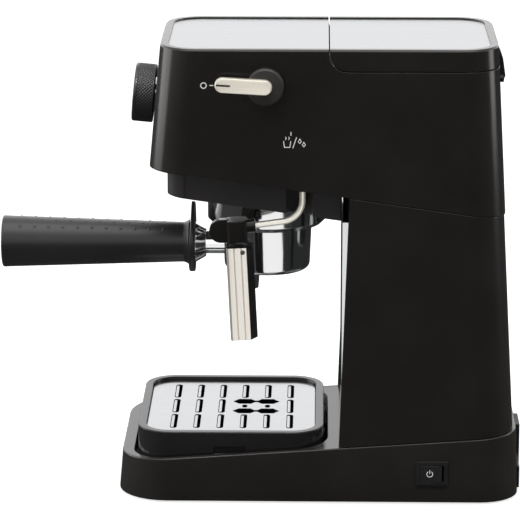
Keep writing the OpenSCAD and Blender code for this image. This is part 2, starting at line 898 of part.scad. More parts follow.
module group_bolts() {
    color("#b0b0b0") {
        group_bolt_posts(flange_z + flange_t, flange_z + flange_t + 3, 3);
        group_bolt_posts(head_mid_z + 8, flange_z + flange_t, screw_r);
    }
}

block_z = flange_z + flange_t;
block_h = 32;
block_half_x = 38;
block_half_y = 30.5;
thermostat_reach = 18;
thermostat_r = 8;

module thermoblock() {
    color("#8f9092") {
        translate([0, 0, block_z])
            linear_extrude(block_h)
                rounded_outline(group_x - block_half_x, group_x + block_half_x, block_half_y, 6, 6);
        // heater ends and the water inlet
        for (side = [-1, 1])
            bar_x(group_x - block_half_x - 8, group_x - block_half_x, side * 18, block_z + 12, 3.2);
        bar_y(inlet_x, -block_half_y - 8, -block_half_y, hose_high_z, 3.5);
    }
}

module thermostat() {
    color("#c9c2b4") {
        for (side = [-1, 1])
            post(group_x + side * thermostat_reach, 8, block_z + block_h, block_z + block_h + 6, thermostat_r);
    }
}

// ---- Steam valve, dial and lever ----

stem_shaft_r = 3;
valve_r = 9;
valve_back = 38;
valve_front = wall + 0.2;
valve_port_y = wand_y;

module steam_valve_body() {
    color("#b08d4f")
        difference() {
            union() {
                on_near_side(-dial_reach, dial_z)
                    translate([0, 0, -valve_back])
                        cylinder(r = valve_r, h = valve_back - valve_front);
                box(-dial_reach - 6, -dial_reach + 6, -block_half_y, -block_half_y + 4,
                    block_z + block_h, dial_z - 2);
                bar_x(-dial_reach, -dial_reach + valve_r + 4, valve_port_y + 4.4, dial_z, 3.4);
            }
            on_near_side(-dial_reach, dial_z)
                translate([0, 0, -valve_back / 2])
                    cylinder(r = stem_shaft_r + shaft_gap, h = valve_back);
        }
}

dial_gap = 0.6;
dial_t = 6;
lever_t = 5;
lever_tilt = 3.2;
lever_lift = 2.1; // above the dial's middle
lever_short = 4.5; // behind the dial's middle

module steam_valve_stem() {
    color("#a9a9a9")
        on_near_side(-dial_reach, dial_z)
            translate([0, 0, -valve_back / 2 + 1])
                cylinder(r = stem_shaft_r, h = valve_back / 2 - 1 + dial_gap);
}

module steam_dial() {
    color("#1b1a1a")
        on_near_side(-dial_reach, dial_z)
            translate([0, 0, dial_gap])
                cylinder(r = dial_r, h = dial_t);
}

module steam_lever() {
    end_r = lever_w / 2;
    color("#d9d4c7")
        on_near_side(-dial_reach, dial_z)
            translate([0, lever_lift, dial_gap + dial_t])
                rotate([0, 0, -lever_tilt])
                    linear_extrude(lever_t)
                        union() {
                            translate([lever_short - lever_l + end_r, -end_r])
                                square([lever_l - 2 * end_r, lever_w]);
                            translate([lever_short - lever_l + end_r, 0])
                                circle(r = end_r);
                            translate([lever_short - end_r, 0])
                                circle(r = end_r);
                        }
}

// ---- Selector knob ----

shaft_r = 3;
knob_gap = 2;
selector_l = 22;
selector_w = 26;
selector_depth = 16;
lens_y = 27;
lens_z = machine_h - 28.5;
lens_r = 2.3;

module selector_switch() {
    color("#2c2c2e")
        on_head_front(0, knob_z)
            difference() {
                union() {
                    translate([-selector_l / 2, -selector_w / 2, -wall - seat_gap - selector_depth])
                        cube([selector_l, selector_w, selector_depth]);
                    translate([0, 0, -wall - seat_gap])
                        cylinder(r = shaft_r + 0.9, h = wall);
                }
                translate([0, 0, -wall - selector_depth + 4])
                    cylinder(r = shaft_r + shaft_gap, h = selector_depth + wall + 4);
            }
}

module knob_shaft() {
    color("#a9a9a9")
        on_head_front(0, knob_z)
            translate([0, 0, -wall - selector_depth + 4.5])
                cylinder(r = shaft_r, h = selector_depth + wall - 4.5 + knob_gap);
}

module selector_knob() {
    bevel = 1.2;
    color("#191919")
        on_head_front(0, knob_z)
            translate([0, 0, knob_gap])
                rotate_extrude()
                    polygon([
                        [0, 0], [knob_r - bevel / 2, 0], [knob_r, bevel / 2], [knob_r, knob_l - bevel],
                        [knob_r - bevel, knob_l], [knob_r - 4, knob_l], [knob_r - 4.6, knob_l - 0.6], [0, knob_l - 0.6]
                    ]);
}

module ready_lens() {
    color("#f4f4f0")
        on_head_front(-lens_y, lens_z) {
            translate([0, 0, -wall - 2])
                cylinder(r = lens_r, h = wall + 3.2);
            translate([0, 0, -wall - 3])
                cylinder(r = lens_r + 1, h = 2.8);
        }
}

// ---- Lid, hinge and tank ----

hinge_x = body_rear(hinge_z) + hinge_out;
knuckle_r = 2.2;
block_half = 8;

module lid_shell() {
    arm_top = machine_h - 6;
    arm_root = body_rear(arm_top) - 1.5;
    color("#1c1b1b")
        difference() {
            union() {
                difference() {
                    intersection() {
                        head_outer();
                        lid_region(0);
                    }
                    loft([with_front(body_slice(lid_seam_z - 20, lid_wall), lid_x + lid_wall),
                        with_front(body_slice(deck_z - lid_wall, lid_wall), lid_x + lid_wall)],
                        slice, body_corner_r);
                    translate([0, 0, deck_z])
                        linear_extrude(big)
                            rounded_outline(lid_x - 5, body_rear(plate_z) - rim_w,
                                half_w(plate_z) - rim_w, 1, body_corner_r - rim_w);
                }
                // arms that reach down to the hinge pin
                difference() {
                    side_profile([
                        [arm_root, arm_top], [body_rear(arm_top) + 0.5, arm_top],
                        [hinge_x + 0.5, lid_seam_z - 0.7], [hinge_x + knuckle_r, hinge_z + 1],
                        [hinge_x + knuckle_r, hinge_z], [hinge_x, hinge_z - knuckle_r],
                        [hinge_x - knuckle_r, hinge_z], [hinge_x - knuckle_r, hinge_z + 6],
                        [arm_root, lid_seam_z + 1.2]
                    ], hinge_w / 2);
                    box(0, big, -block_half - 0.3, block_half + 0.3, 0, hinge_z + 6);
                }
            }
            bar_y(hinge_x, -hinge_w, hinge_w, hinge_z, hinge_pin_r + shaft_gap);
        }
}

module lid_top_plate() {
    color("#e4e6e8")
        translate([0, 0, deck_z])
            linear_extrude(sheet_t)
                rounded_outline(lid_x, body_rear(plate_z) - rim_w - seat_gap,
                    half_w(plate_z) - rim_w - seat_gap, 1, body_corner_r - rim_w - seat_gap);
}

bridge_z0 = hinge_z - 4.9;
bridge_z1 = hinge_z - 0.5;

module hinge_block() {
    color("#131313")
        difference() {
            union() {
                side_profile([
                    [hinge_x - knuckle_r, hinge_z], [hinge_x, hinge_z + knuckle_r], [hinge_x + knuckle_r, hinge_z],
                    [hinge_x + 1.5, bridge_z0], [hinge_x - knuckle_r, bridge_z0]
                ], block_half);
                box(tank_x1 + 0.05, hinge_x, -block_half, block_half, bridge_z0, bridge_z1);
            }
            bar_y(hinge_x, -hinge_w, hinge_w, hinge_z, hinge_pin_r + 0.01);
        }
}

module hinge_pin() {
    color("#b5b5b5")
        bar_y(hinge_x, -hinge_w / 2 + 0.5, hinge_w / 2 - 0.5, hinge_z, hinge_pin_r);
}

valve_x = tank_x1 - 16;
valve_hole_r = 6;

module water_tank() {
    r = 14;
    color([0.35, 0.38, 0.4, 0.6])
        difference() {
            translate([0, 0, tank_z])
                linear_extrude(tank_top_z - tank_z)
                    rounded_outline(tank_x0, tank_x1, tank_w / 2, r, r);
            translate([0, 0, tank_z + tank_wall])
                linear_extrude(big)
                    rounded_outline(tank_x0 + tank_wall, tank_x1 - tank_wall, tank_w / 2 - tank_wall,
                        r - tank_wall, r - tank_wall);
            post(valve_x, 0, tank_z - 1, tank_z + 5, valve_hole_r + seat_gap);
        }
}

module tank_valve() {
    color("#e2e0da") {
        post(valve_x, 0, seat_z - seat_t - 4, tank_z + tank_wall, valve_hole_r);
        post(valve_x, 0, tank_z + tank_wall, tank_z + tank_wall + 2, valve_hole_r + 2);
    }
}

seat_z = tank_z - 0.3;
seat_t = 4;
rail_w = 6;
cup_r = 10;

module tank_seat() {
    seat_half = half_w(seat_z - seat_t) - wall - 0.8;
    color("#2a2a2c")
        difference() {
            union() {
                translate([0, 0, seat_z - seat_t])
                    linear_extrude(seat_t)
                        rounded_outline(flange_x1 + 0.5, body_rear(seat_z) - column_step - wall - 0.5, seat_half, 2,
                            body_corner_r - wall);
                post(valve_x, 0, seat_z - seat_t - 14, seat_z - 1, cup_r);
            }
            post(valve_x, 0, seat_z - seat_t - 6, seat_z + 1, valve_hole_r + 2);
            post(valve_x, 0, 0, seat_z, 1.6);
            // way for the pressure hose
            box(flange_x1, hose_x + hose_r + 1, -big, hose_side_y + hose_r + 1, seat_z - seat_t - 1, seat_z + 1);
        }
}

module tank_seal() {
    color("#7a2f22")
        translate([valve_x, 0, seat_z - seat_t - 2])
            rotate_extrude()
                translate([valve_hole_r + 1.15, 0])
                    circle(r = 0.8);
}

// ---- Pump and hoses ----

hose_r = 2.4;
hose_bend = 8;
hose_x = panel_x + 13.7;
hose_side_y = -tank_w / 2 - hose_r - 2;
hose_high_z = block_z + 8;
inlet_x = group_x + 33;
pump_z = (base_mid_h + tank_z) / 2;
pump_x0 = 50;
pump_l = 44;
pump_half = 22;
spigot_r = 3.4;

module pump_bracket() {
    foot_z = base_top(pump_x0 - 8) + seam_gap;
    color("#3b3b3d")
        for (x = [pump_x0 - 8, pump_x0 + pump_l + 2])
            difference() {
                union() {
                    box(x, x + 6, -20, 20, base_top(x), pump_z + 8);
                    box(x, x + 6, -34, 34, base_top(x + 6), base_top(x + 6) + 4);
                }
                bar_x(x - 1, x + 7, 0, pump_z, mount_r);
                // sloping foot on the base
                below_column();
                box(x - 1, x + 7, -12, 12, 0, foot_z + 8);
            }
}

mount_r = 14;

module pump_mounts() {
    color("#1b1b1b")
        for (x = [pump_x0 - 8, pump_x0 + pump_l + 2])
            difference() {
                bar_x(x, x + 6, 0, pump_z, mount_r - 0.05);
                bar_x(x - 1, x + 7, 0, pump_z, core_r + 0.05);
            }
}

core_r = 9;

module pump_coil() {
    color("#6f7276")
        difference() {
            box(pump_x0, pump_x0 + pump_l, -pump_half, pump_half, pump_z - pump_half, pump_z + pump_half);
            bar_x(pump_x0 - 1, pump_x0 + pump_l + 1, 0, pump_z, core_r + 0.05);
        }
}

module pump_core() {
    color("#d8d4c6") {
        bar_x(pump_x0 - 12, pump_x0 + pump_l + 12, 0, pump_z, core_r);
        bar_x(pump_x0 - 18, pump_x0 - 12, 0, pump_z, spigot_r);
        bar_x(pump_x0 + pump_l + 12, pump_x0 + pump_l + 18, 0, pump_z, spigot_r);
    }
}

module suction_hose() {
    seat_low = seat_z - seat_t - 14;
    start_x = pump_x0 + pump_l + 18;
    turn_z = seat_low - hose_bend - 1;
    color([0.85, 0.85, 0.8, 0.7])
        hose([[start_x, 0, pump_z], [start_x + hose_bend + 0.5, 0, pump_z],
            [start_x + hose_bend + 0.5, 0, turn_z],
            [valve_x, 0, turn_z], [valve_x, 0, seat_low]], hose_bend, hose_r);
}

module pressure_hose() {
    start_x = pump_x0 - 18;
    color([0.9, 0.9, 0.88, 1])
        hose([[start_x, 0, pump_z], [hose_x - 2, 0, pump_z], [hose_x - 2, hose_side_y, pump_z],
            [hose_x - 2, hose_side_y, hose_high_z], [inlet_x, hose_side_y, hose_high_z],
            [inlet_x, -block_half_y - 8, hose_high_z]], hose_bend / 2, hose_r);
}

module steam_tube() {
    tube_y = valve_port_y + 4.4;
    start_x = -dial_reach + valve_r + 4;
    color("#c7c7c2") {
        hose([[start_x, tube_y, dial_z], [wand_x, tube_y, dial_z], [wand_x, tube_y, bush_top_z + 16]], 6, pipe_r);
        rod([wand_x, tube_y, bush_top_z + 16], [wand_x, wand_y, bush_top_z + 6], pipe_r);
        // brazed knee
        translate([wand_x, tube_y, bush_top_z + 16])
            sphere(r = pipe_r + 0.8);
        post(wand_x, wand_y, bush_top_z + 2.2, bush_top_z + 6, pipe_r + 1);
    }
}

// ---- Steam wand ----

bush_r = 4.6;
bush_flange_r = 6.6;
bush_top_z = bush_boss_z + 3;

module wand_bush() {
    color("#2b2b2b")
        difference() {
            union() {
                post(wand_x, wand_y, head_under(wand_x) - 1.5, bush_boss_z + 1, bush_r);
                post(wand_x, wand_y, bush_boss_z, bush_top_z, bush_flange_r);
            }
            post(wand_x, wand_y, 0, big, pipe_r + shaft_gap);
        }
}

arm_dir = [-cos(arm_fall), 0, -sin(arm_fall)];
bend_turn = 90 - arm_fall;
bend_run = pipe_bend_r * tan(bend_turn / 2);
pipe_corner = [wand_x, wand_y, pipe_elbow_z];
pipe_end_x = -sleeve_reach + 2;
arm_run = (wand_x - pipe_end_x) / cos(arm_fall);

module steam_pipe() {
    run_in = 0.4;
    straight_r = pipe_r - 0.02;
    color("#cfcbc0") {
        post(wand_x, wand_y, pipe_elbow_z + bend_run - run_in, bush_top_z + 1, straight_r);
        post(wand_x, wand_y, bush_top_z + 0.3, bush_top_z + 1.9, pipe_r + 1.8);
        translate([wand_x - pipe_bend_r, wand_y, pipe_elbow_z + bend_run])
            rotate([90, 0, 0])
                rotate([0, 0, -bend_turn])
                    rotate_extrude(angle = bend_turn)
                        translate([pipe_bend_r, 0])
                            circle(r = pipe_r);
        rod(pipe_corner + (bend_run - run_in) * arm_dir, pipe_corner + arm_run * arm_dir, straight_r);
    }
}

// On the wand's lower leg: local z runs up it from the sleeve's top
module on_wand_leg() {
    translate([-sleeve_reach, wand_y, sleeve_top_z])
        rotate([0, -sleeve_lean, 0])
            children();
}

joint_h = 18.4;
joint_r = 7.6;
neck_h = 1.2;
boss_arm_r = 4.6;
tab_r = 7.9;
tab_t = 6;
tab_x = -11.8; // middle of the finger tab
tab_z = 11.1;
block_x0 = -7.7;

module wand_joint() {
    color("#1d1c1d")
        difference() {
            union() {
                on_wand_leg() {
                    translate([0, 0, 0.4])
                        linear_extrude(1.8)
                            sleeve_outline(0);
                    translate([0, 0, 2.2])
                        cylinder(r = sleeve_r - 1, h = neck_h);
                    translate([0, 0, 2.2 + neck_h])
                        linear_extrude(joint_h - 2.2 - neck_h)
                            rounded_outline(block_x0, joint_r - 1.4, joint_r, 3, 5);
                    // finger tab
                    translate([tab_x, tab_t / 2, tab_z])
                        rotate([90, 0, 0])
                            cylinder(r = tab_r, h = tab_t);
                    translate([tab_x, -tab_t / 2, tab_z - 0.05 - tab_r])
                        cube([block_x0 - tab_x + 1, tab_t, 2 * tab_r]);
                }
                rod(pipe_corner + (arm_run - 3) * arm_dir, pipe_corner + (arm_run - 9) * arm_dir, boss_arm_r);
            }
            rod(pipe_corner + (arm_run + 0.2) * arm_dir, pipe_corner, pipe_r + 0.02);
            on_wand_leg()
                translate([0, 0, -1])
                    cylinder(r = nozzle_r + 0.02, h = 9);
        }
}

nozzle_r = 3;
nozzle_l = sleeve_l - 4;

module wand_nozzle() {
    color("#c9c9c6")
        on_wand_leg()
            difference() {
                translate([0, 0, -nozzle_l])
                    cylinder(r = nozzle_r, h = nozzle_l + 7.8);
                translate([0, 0, -nozzle_l - 1])
                    cylinder(r = 0.8, h = 12);
            }
}

shell_t = 0.8;
core_gap = 0.05;
flat_y = 7.6; // from the sleeve's axis to its flat near face
flat_x = 4.8; // where the black side begins

// Section of the sleeve, g inside its surface
module sleeve_outline(g) {
    r = 1.6;
    polygon(concat(
        [for (a = [0:12:180]) (sleeve_r - g) * [cos(a), sin(a)]],
        [for (a = [180:30:270])
            [-sleeve_r + 0.4 + r + (r - g) * cos(a), -flat_y + r + (r - g) * sin(a)]],
        [[flat_x - 0.56 * g, -flat_y + g]]
    ));
}

// The side of the section that the steel leaves open
module black_side(g) {
    polygon([[flat_x + g, -big], [flat_x + g, -flat_y + 1], [-sleeve_r / 2 + g, 6],
        [-sleeve_r / 2 + g, big], [big, big], [big, -big]]);
}

module sleeve_shell() {
    color("#cdc8bc")
        on_wand_leg()
            translate([0, 0, -sleeve_l])
                difference() {
                    linear_extrude(sleeve_l)
                        difference() {
                            sleeve_outline(0);
                            sleeve_outline(shell_t);
                            black_side(0);
                        }
                    rivet_axis()
                        cylinder(r = rivet_r + shaft_gap, h = 30);
                }
}

rivet_r = 1.1;
rivet_x = 2.2;
rivet_drop = 2.9;

module rivet_axis() {
    translate([rivet_x, 0, sleeve_l - rivet_drop])
        rotate([90, 0, 0])
            children();
}

module sleeve_core() {
    color("#171717")
        on_wand_leg()
            translate([0, 0, -sleeve_l])
                difference() {
                    union() {
                        linear_extrude(sleeve_l)
                            sleeve_outline(shell_t + core_gap);
                        linear_extrude(sleeve_l - 1)
                            intersection() {
                                sleeve_outline(0);
                                black_side(0.1);
                            }
                    }
                    translate([0, 0, -1])
                        cylinder(r = 6, h = sleeve_l - 12);
                    cylinder(r = nozzle_r + shaft_gap, h = sleeve_l + 1);
                    rivet_axis()
                        cylinder(r = rivet_r + shaft_gap, h = 30);
                }
}

module sleeve_rivet() {
    color("#9c978c")
        on_wand_leg()
            translate([0, 0, -sleeve_l])
                rivet_axis() {
                    translate([0, 0, flat_y - 4])
                        cylinder(r = rivet_r, h = 4.2);
                    translate([0, 0, flat_y + 0.05])
                        cylinder(r = rivet_r + 0.5, h = 0.4);
                }
}

// ---- Portafilter ----

bowl_floor_t = 3;
bowl_fillet = 3.8;
neck_r = 8;

module portafilter_bowl() {
    color("#cfd0d2")
        translate([group_x, 0, 0])
            difference() {
                union() {
                    rotate_extrude()
                        polygon(concat(
                            [[0, bowl_z]],
                            [for (a = [0:15:90])
                                [bowl_floor_r - bowl_fillet + bowl_fillet * sin(a),
                                    bowl_z + bowl_fillet - bowl_fillet * cos(a)]],
                            [[bowl_r, bowl_rim_z], [bowl_bore_r, bowl_rim_z],
                                [bowl_bore_r, bowl_z + bowl_floor_t], [0, bowl_z + bowl_floor_t]]
                        ));
                    for (side = [90, 270])
                        rotate([0, 0, side - lug_angle / 2])
                            rotate_extrude(angle = lug_angle)
                                translate([bowl_r - 1.2, lug_z])
                                    square([lug_r - bowl_r + 1.2, lug_t]);
                    bar_x(guard_back + 1 - group_x, -bowl_bore_r - 0.3, 0, handle_z, neck_r);
                }
                bar_x(-guard_reach - 1 - group_x, -bowl_bore_r - 4, 0, handle_z, stud_r);
                for (side = [-1, 1])
                    translate([-outlet_in, side * outlet_y, 0])
                        cylinder(r = outlet_bore_r, h = bowl_z + 10);
            }
}

outlet_in = 11.6; // spouts' distance from the group axis
outlet_y = 7;
outlet_bore_r = 3.2;
spout_h = 13.2;

module portafilter_spout() {
    color("#181818")
        translate([group_x - outlet_in, 0, bowl_z - spout_h])
            difference() {
                union() {
                    for (side = [-1, 1])
                        translate([0, side * outlet_y, 0])
                            cylinder(r1 = 5.8, r2 = 6.6, h = spout_h);
                    box(-6, 6, -outlet_y, outlet_y, spout_h - 6, spout_h);
                }
                for (side = [-1, 1])
                    translate([0, side * outlet_y, -1])
                        cylinder(r = outlet_bore_r, h = spout_h + 2);
            }
}

module filter_basket() {
    t = 0.8;
    floor_z = bowl_rim_z + rim_t - basket_h;
    color("#c3c5c7")
        translate([group_x, 0, 0])
            difference() {
                rotate_extrude()
                    polygon([
                        [0, floor_z], [basket_r, floor_z], [basket_r, bowl_rim_z], [bowl_r - 0.2, bowl_rim_z],
                        [bowl_r - 0.2, bowl_rim_z + rim_t], [basket_r - t, bowl_rim_z + rim_t],
                        [basket_r - t, floor_z + t], [0, floor_z + t]
                    ]);
                for (ring = [1:2])
                    for (a = [0:360 / (6 * ring):359])
                        rotate([0, 0, a])
                            translate([9 * ring, 0, 0])
                                cylinder(r = 0.6, h = big);
            }
}

ferrule_l = 7.3;
ferrule_r1 = 14;
ferrule_r2 = 9.8;
stud_in = 70; // length of the stud inside the handle
guard_back = -guard_reach + guard_t;
stud_r = 3;

module handle_ferrule() {
    color("#b9babc")
        translate([guard_back + 0.02, 0, handle_z])
            rotate([0, 90, 0])
                difference() {
                    cylinder(r1 = ferrule_r1, r2 = ferrule_r2, h = ferrule_l);
                    translate([0, 0, 1 - 0.02])
                        cylinder(r = neck_r + 0.05, h = ferrule_l);
                    translate([0, 0, -1])
                        cylinder(r = stud_r + 0.02, h = ferrule_l);
                }
}

module handle_stud() {
    color("#a8a8a8")
        bar_x(-guard_reach - stud_in, group_x - bowl_bore_r - 4.2, 0, handle_z, stud_r - 0.02);
}

guard_low_r = 20.5;
guard_tip_r = 12;
guard_high = 28.8;

module portafilter_handle() {
    root_x = handle_reach - guard_reach; // length of the grip
    end_round = 1.2;
    dome = 0.8;
    flare_l = 4.5;
    taper = (handle_end_r - handle_root_r) / (root_x - flare_l);
    color("#1d1d1c")
        difference() {
            union() {
                translate([-handle_reach, 0, handle_z])
                    rotate([0, 90, 0])
                        rotate_extrude()
                            polygon(concat(
                                [[0, 0], [handle_end_r * 0.6, dome * 0.35]],
                                [for (a = [0:22.5:90])
                                    [handle_end_r - end_round + end_round * sin(a), dome + end_round * (1 - cos(a))]],
                                [for (t = [0:0.25:1])
                                    [handle_end_r - taper * (root_x - flare_l) + 2 * t * t, root_x - flare_l * (1 - t)]],
                                [[0, root_x]]
                            ));
                hull() {
                    bar_x(-guard_reach, guard_back, 0, handle_z, guard_low_r);
                    bar_x(-guard_reach + 2, guard_back, 0, handle_z + guard_high - guard_tip_r, guard_tip_r);
                }
            }
            bar_x(-guard_reach - stud_in - 1, 0, 0, handle_z, stud_r);
        }
}

// ---- Drip tray ----

grid_gap = 0.6;
grid_top_z = tray_top_z - grid_drop;
grid_ledge_z = grid_top_z - sheet_t - move_gap;
finger_notch_l = 22;

module tray_outline(inset) {
    rounded_outline(tray_x0 + inset, tray_x1 - inset, tray_w / 2 - inset, tray_corner_r - inset, tray_corner_r - inset);
}

module drip_tray() {
    rim_inner = tray_rim_w - 0.6;
    color("#141414")
        difference() {
            translate([0, 0, tray_z])
                linear_extrude(tray_top_z - tray_z)
                    tray_outline(0);
            translate([0, 0, grid_ledge_z])
                linear_extrude(big)
                    tray_outline(rim_inner);
            translate([0, 0, grid_ledge_z - 3])
                linear_extrude(big)
                    tray_outline(rim_inner + 3);
            translate([0, 0, tray_z + tray_wall])
                linear_extrude(grid_ledge_z - 6 - tray_z - tray_wall)
                    tray_outline(tray_wall);
            // way between hollow and ledge
            translate([0, 0, grid_ledge_z - 7])
                linear_extrude(5)
                    tray_outline(rim_inner + 3);
            // finger notches under the rim
            for (side = [-1, 1])
                box(tray_mid_x - finger_notch_l / 2, tray_mid_x + finger_notch_l / 2,
                    side > 0 ? tray_w / 2 - 1 : -tray_w / 2 - 1,
                    side > 0 ? tray_w / 2 + 1 : -tray_w / 2 + 1, base_mid_h - 6, base_mid_h - 0.5);
        }
}

spindle_l = 16.4;
spindle_w = 11.4;
spindle_y = 11.2;
spindle_point = 4; // length of the pointed ends
pattern_shift = 0.4; // of the slots, to the rear

// A long drop with pointed ends, drawn along X
module spindle() {
    x = spindle_l / 2;
    y = spindle_w / 2;
    s = x - spindle_point;
    polygon([[-x, -0.5], [-s, -y], [s, -y], [x, -0.5], [x, 0.5], [s, y], [-s, y], [-x, 0.5]]);
}

function slot_x(i) = tray_mid_x + pattern_shift + (i - (slot_columns - 1) / 2) * slot_pitch;
function under_cup(i) = i == slot_columns - 3 || i == slot_columns - 2;

module drip_grid() {
    inset = tray_rim_w - 0.6 + grid_gap;
    color("#d5d7d9")
        difference() {
            translate([0, 0, grid_top_z - sheet_t])
                linear_extrude(sheet_t)
                    tray_outline(inset);
            for (i = [0:slot_columns - 1])
                for (row = [-1:1])
                    if (row != 0 || !under_cup(i))
                        translate([slot_x(i), row * slot_row_pitch, 0])
                            for (end = [-1, 1]) {
                                box(-slot_w / 2, slot_w / 2, -(slot_l - slot_w) / 2, (slot_l - slot_w) / 2, 0, big);
                                post(0, end * (slot_l - slot_w) / 2, 0, big, slot_w / 2);
                            }
            for (i = [0:slot_columns - 1])
                if (under_cup(i)) {
                    for (side = [-1, 1])
                        translate([slot_x(i), side * spindle_y, 0])
                            linear_extrude(big)
                                spindle();
                    for (side = [-1, 1])
                        post(slot_x(i), side * 1.5, 0, big, 1.9);
                }
            for (side = [-1, 1])
                box(slot_x(slot_columns - 3), slot_x(slot_columns - 2), side * spindle_y - 2,
                    side * spindle_y + 2, 0, big);
        }
}

base_shell();
base_plate();
rubber_feet();
base_screws();
switch_frame();
power_rocker();
cord_gland();
control_board();
column_shell();
column_front_panel();
head_shell();
head_top_plate();
head_floor();
group_pod();
group_head();
group_collar();
group_gasket();
shower_screen();
screen_screw();
group_bolts();
thermoblock();
thermostat();
steam_valve_body();
steam_valve_stem();
steam_dial();
steam_lever();
selector_switch();
knob_shaft();
selector_knob();
ready_lens();
lid_shell();
lid_top_plate();
water_tank();
hinge_block();
hinge_pin();
tank_valve();
tank_seat();
tank_seal();
pump_bracket();
pump_coil();
pump_core();
pump_mounts();
suction_hose();
pressure_hose();
steam_tube();
wand_bush();
steam_pipe();
wand_joint();
wand_nozzle();
sleeve_shell();
sleeve_core();
sleeve_rivet();
portafilter_bowl();
portafilter_spout();
filter_basket();
handle_ferrule();
handle_stud();
portafilter_handle();
drip_tray();
drip_grid();
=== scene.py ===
"""Looks of a slim pump espresso machine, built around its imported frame."""

import json
import math

import bmesh
import bpy
from mathutils import Matrix, Vector


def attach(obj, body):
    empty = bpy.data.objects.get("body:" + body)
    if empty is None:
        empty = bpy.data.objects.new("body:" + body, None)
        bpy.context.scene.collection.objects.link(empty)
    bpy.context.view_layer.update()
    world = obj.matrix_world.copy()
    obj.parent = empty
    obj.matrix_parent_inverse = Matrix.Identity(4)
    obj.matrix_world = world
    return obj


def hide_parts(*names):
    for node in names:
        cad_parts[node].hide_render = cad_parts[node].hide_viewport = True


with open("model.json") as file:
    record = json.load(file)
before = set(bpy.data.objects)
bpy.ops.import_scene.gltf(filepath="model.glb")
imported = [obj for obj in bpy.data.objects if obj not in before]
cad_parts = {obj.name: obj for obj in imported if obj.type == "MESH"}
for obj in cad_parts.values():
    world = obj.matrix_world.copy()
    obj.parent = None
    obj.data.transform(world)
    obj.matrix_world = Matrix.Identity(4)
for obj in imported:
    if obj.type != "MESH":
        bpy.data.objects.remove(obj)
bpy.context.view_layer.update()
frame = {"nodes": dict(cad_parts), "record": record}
NODES = frame["nodes"]
MM = 0.001

# ---- Shape of the casing, as the part's source gives it (millimetres) ----

TOP_Z = 311.5
SIDE_DRAFT = math.radians(2)
FRONT_RAKE = math.radians(5.3)
FRONT_REACH = 108.1
BASE_MID_Z, BASE_SLOPE = 37.7, math.tan(math.radians(4))
DIAL = (-37.3, 287.2)
DIAL_R, DIAL_T, DIAL_GAP, DIAL_ROUND = 12.4, 6.0, 0.6, 1.4
LEVER_L, LEVER_W, LEVER_T, LEVER_ROUND = 37.9, 10.0, 5.0, 1.3
LEVER_SHORT, LEVER_LIFT, LEVER_TILT = 4.5, 0.5, math.radians(3.2)
SWITCH = (76.2, 21.6)
ROCKER_PIVOT, ROCKER_MIDDLE, ROCKER_SLOPE, ROCKER_TURN = 3.0, 4.3, 0.9 / 7.3, math.radians(7)
KNOB_Z, KNOB_R, KNOB_L, KNOB_GAP, KNOB_ROUND = 268.7, 20.0, 14.4, 2.0, 1.3
GROUP_X = -37.2
HANDLE_Z, HANDLE_REACH, GUARD_REACH = 164.15, 221.3, 91.1
HANDLE_END_R, HANDLE_ROOT_R = 17.9, 13.8
GUARD_BACK, NECK_R = -86.8, 8.0
BOWL_R, BOWL_FLOOR_R, BOWL_BORE_R, BOWL_Z, BOWL_RIM_Z = 31.2, 29.6, 28.1, 147.20, 189.25
LUG_Z, LUG_T, LUG_R = 183.75, 3.8, 36.4
BOWL_FLOOR_T, BOWL_FILLET, BOWL_RIM_ROUND, LUG_ANGLE = 3.0, 3.8, 0.3, 50
SLEEVE_TOP = (-54.9, -58.5, 176.4)
SLEEVE_LEAN = math.radians(2.9)
SLEEVE_L, SLEEVE_R, SLEEVE_FLAT_Y, SLEEVE_FLAT_X = 64.2, 9.2, 7.6, 4.8
SLEEVE_CORNER_R, SLEEVE_SHEET_T = 1.6, 0.8
SLEEVE_GROOVES, GROOVE_HALF, GROOVE_FLOOR_HALF, GROOVE_DEPTH = (-3.6, 1.2), 0.32, 0.12, 0.45
TRAY_X0, TRAY_X1, TRAY_HALF, TRAY_R = -125.0, 2.4, 68.0, 22.0
TRAY_TOP_Z, GRID_TOP_Z = 47.6, 45.2
SLOT_PITCH, SLOT_ROW_PITCH, SLOT_L = 16.0, 35.2, 31.6
SLOT_MIDDLE = -60.9
LOUVRE_HALF, LOUVRE_T, LOUVRE_DROP, LOUVRE_LEAN = 0.95, 0.3, 0.45, math.radians(4)


def half_width(z):
    return 65 + (TOP_Z - z) * math.tan(SIDE_DRAFT)


def near_side(x, z, lift=0.0):
    """Frame on the near side wall: local x to the rear, y up the wall, z outwards."""
    place = Matrix.Translation(Vector((x, -half_width(z), z)) * MM)
    return place @ Matrix.Rotation(math.pi / 2 - SIDE_DRAFT, 4, "X") @ Matrix.Translation((0, 0, lift * MM))


def head_front(y, z):
    """Frame on the head's raked front face, local z outwards."""
    x = -FRONT_REACH - (TOP_Z - z) * math.tan(FRONT_RAKE)
    return Matrix.Translation(Vector((x, y, z)) * MM) @ Matrix.Rotation(FRONT_RAKE - math.pi / 2, 4, "Y")


def wand_leg():
    """Frame on the sleeve's axis at its top, local z up the wand."""
    return Matrix.Translation(Vector(SLEEVE_TOP) * MM) @ Matrix.Rotation(-SLEEVE_LEAN, 4, "Y")


# ---- Shader groups ----

def shader_group(name, inputs, outputs):
    """A node group with named sockets, and its input and output nodes."""
    tree = bpy.data.node_groups.new(name, "ShaderNodeTree")
    for label, kind, default in inputs:
        socket = tree.interface.new_socket(label, in_out="INPUT", socket_type=kind)
        if default is not None:
            socket.default_value = default
    for label, kind in outputs:
        tree.interface.new_socket(label, in_out="OUTPUT", socket_type=kind)
    return tree, tree.nodes.new("NodeGroupInput"), tree.nodes.new("NodeGroupOutput")


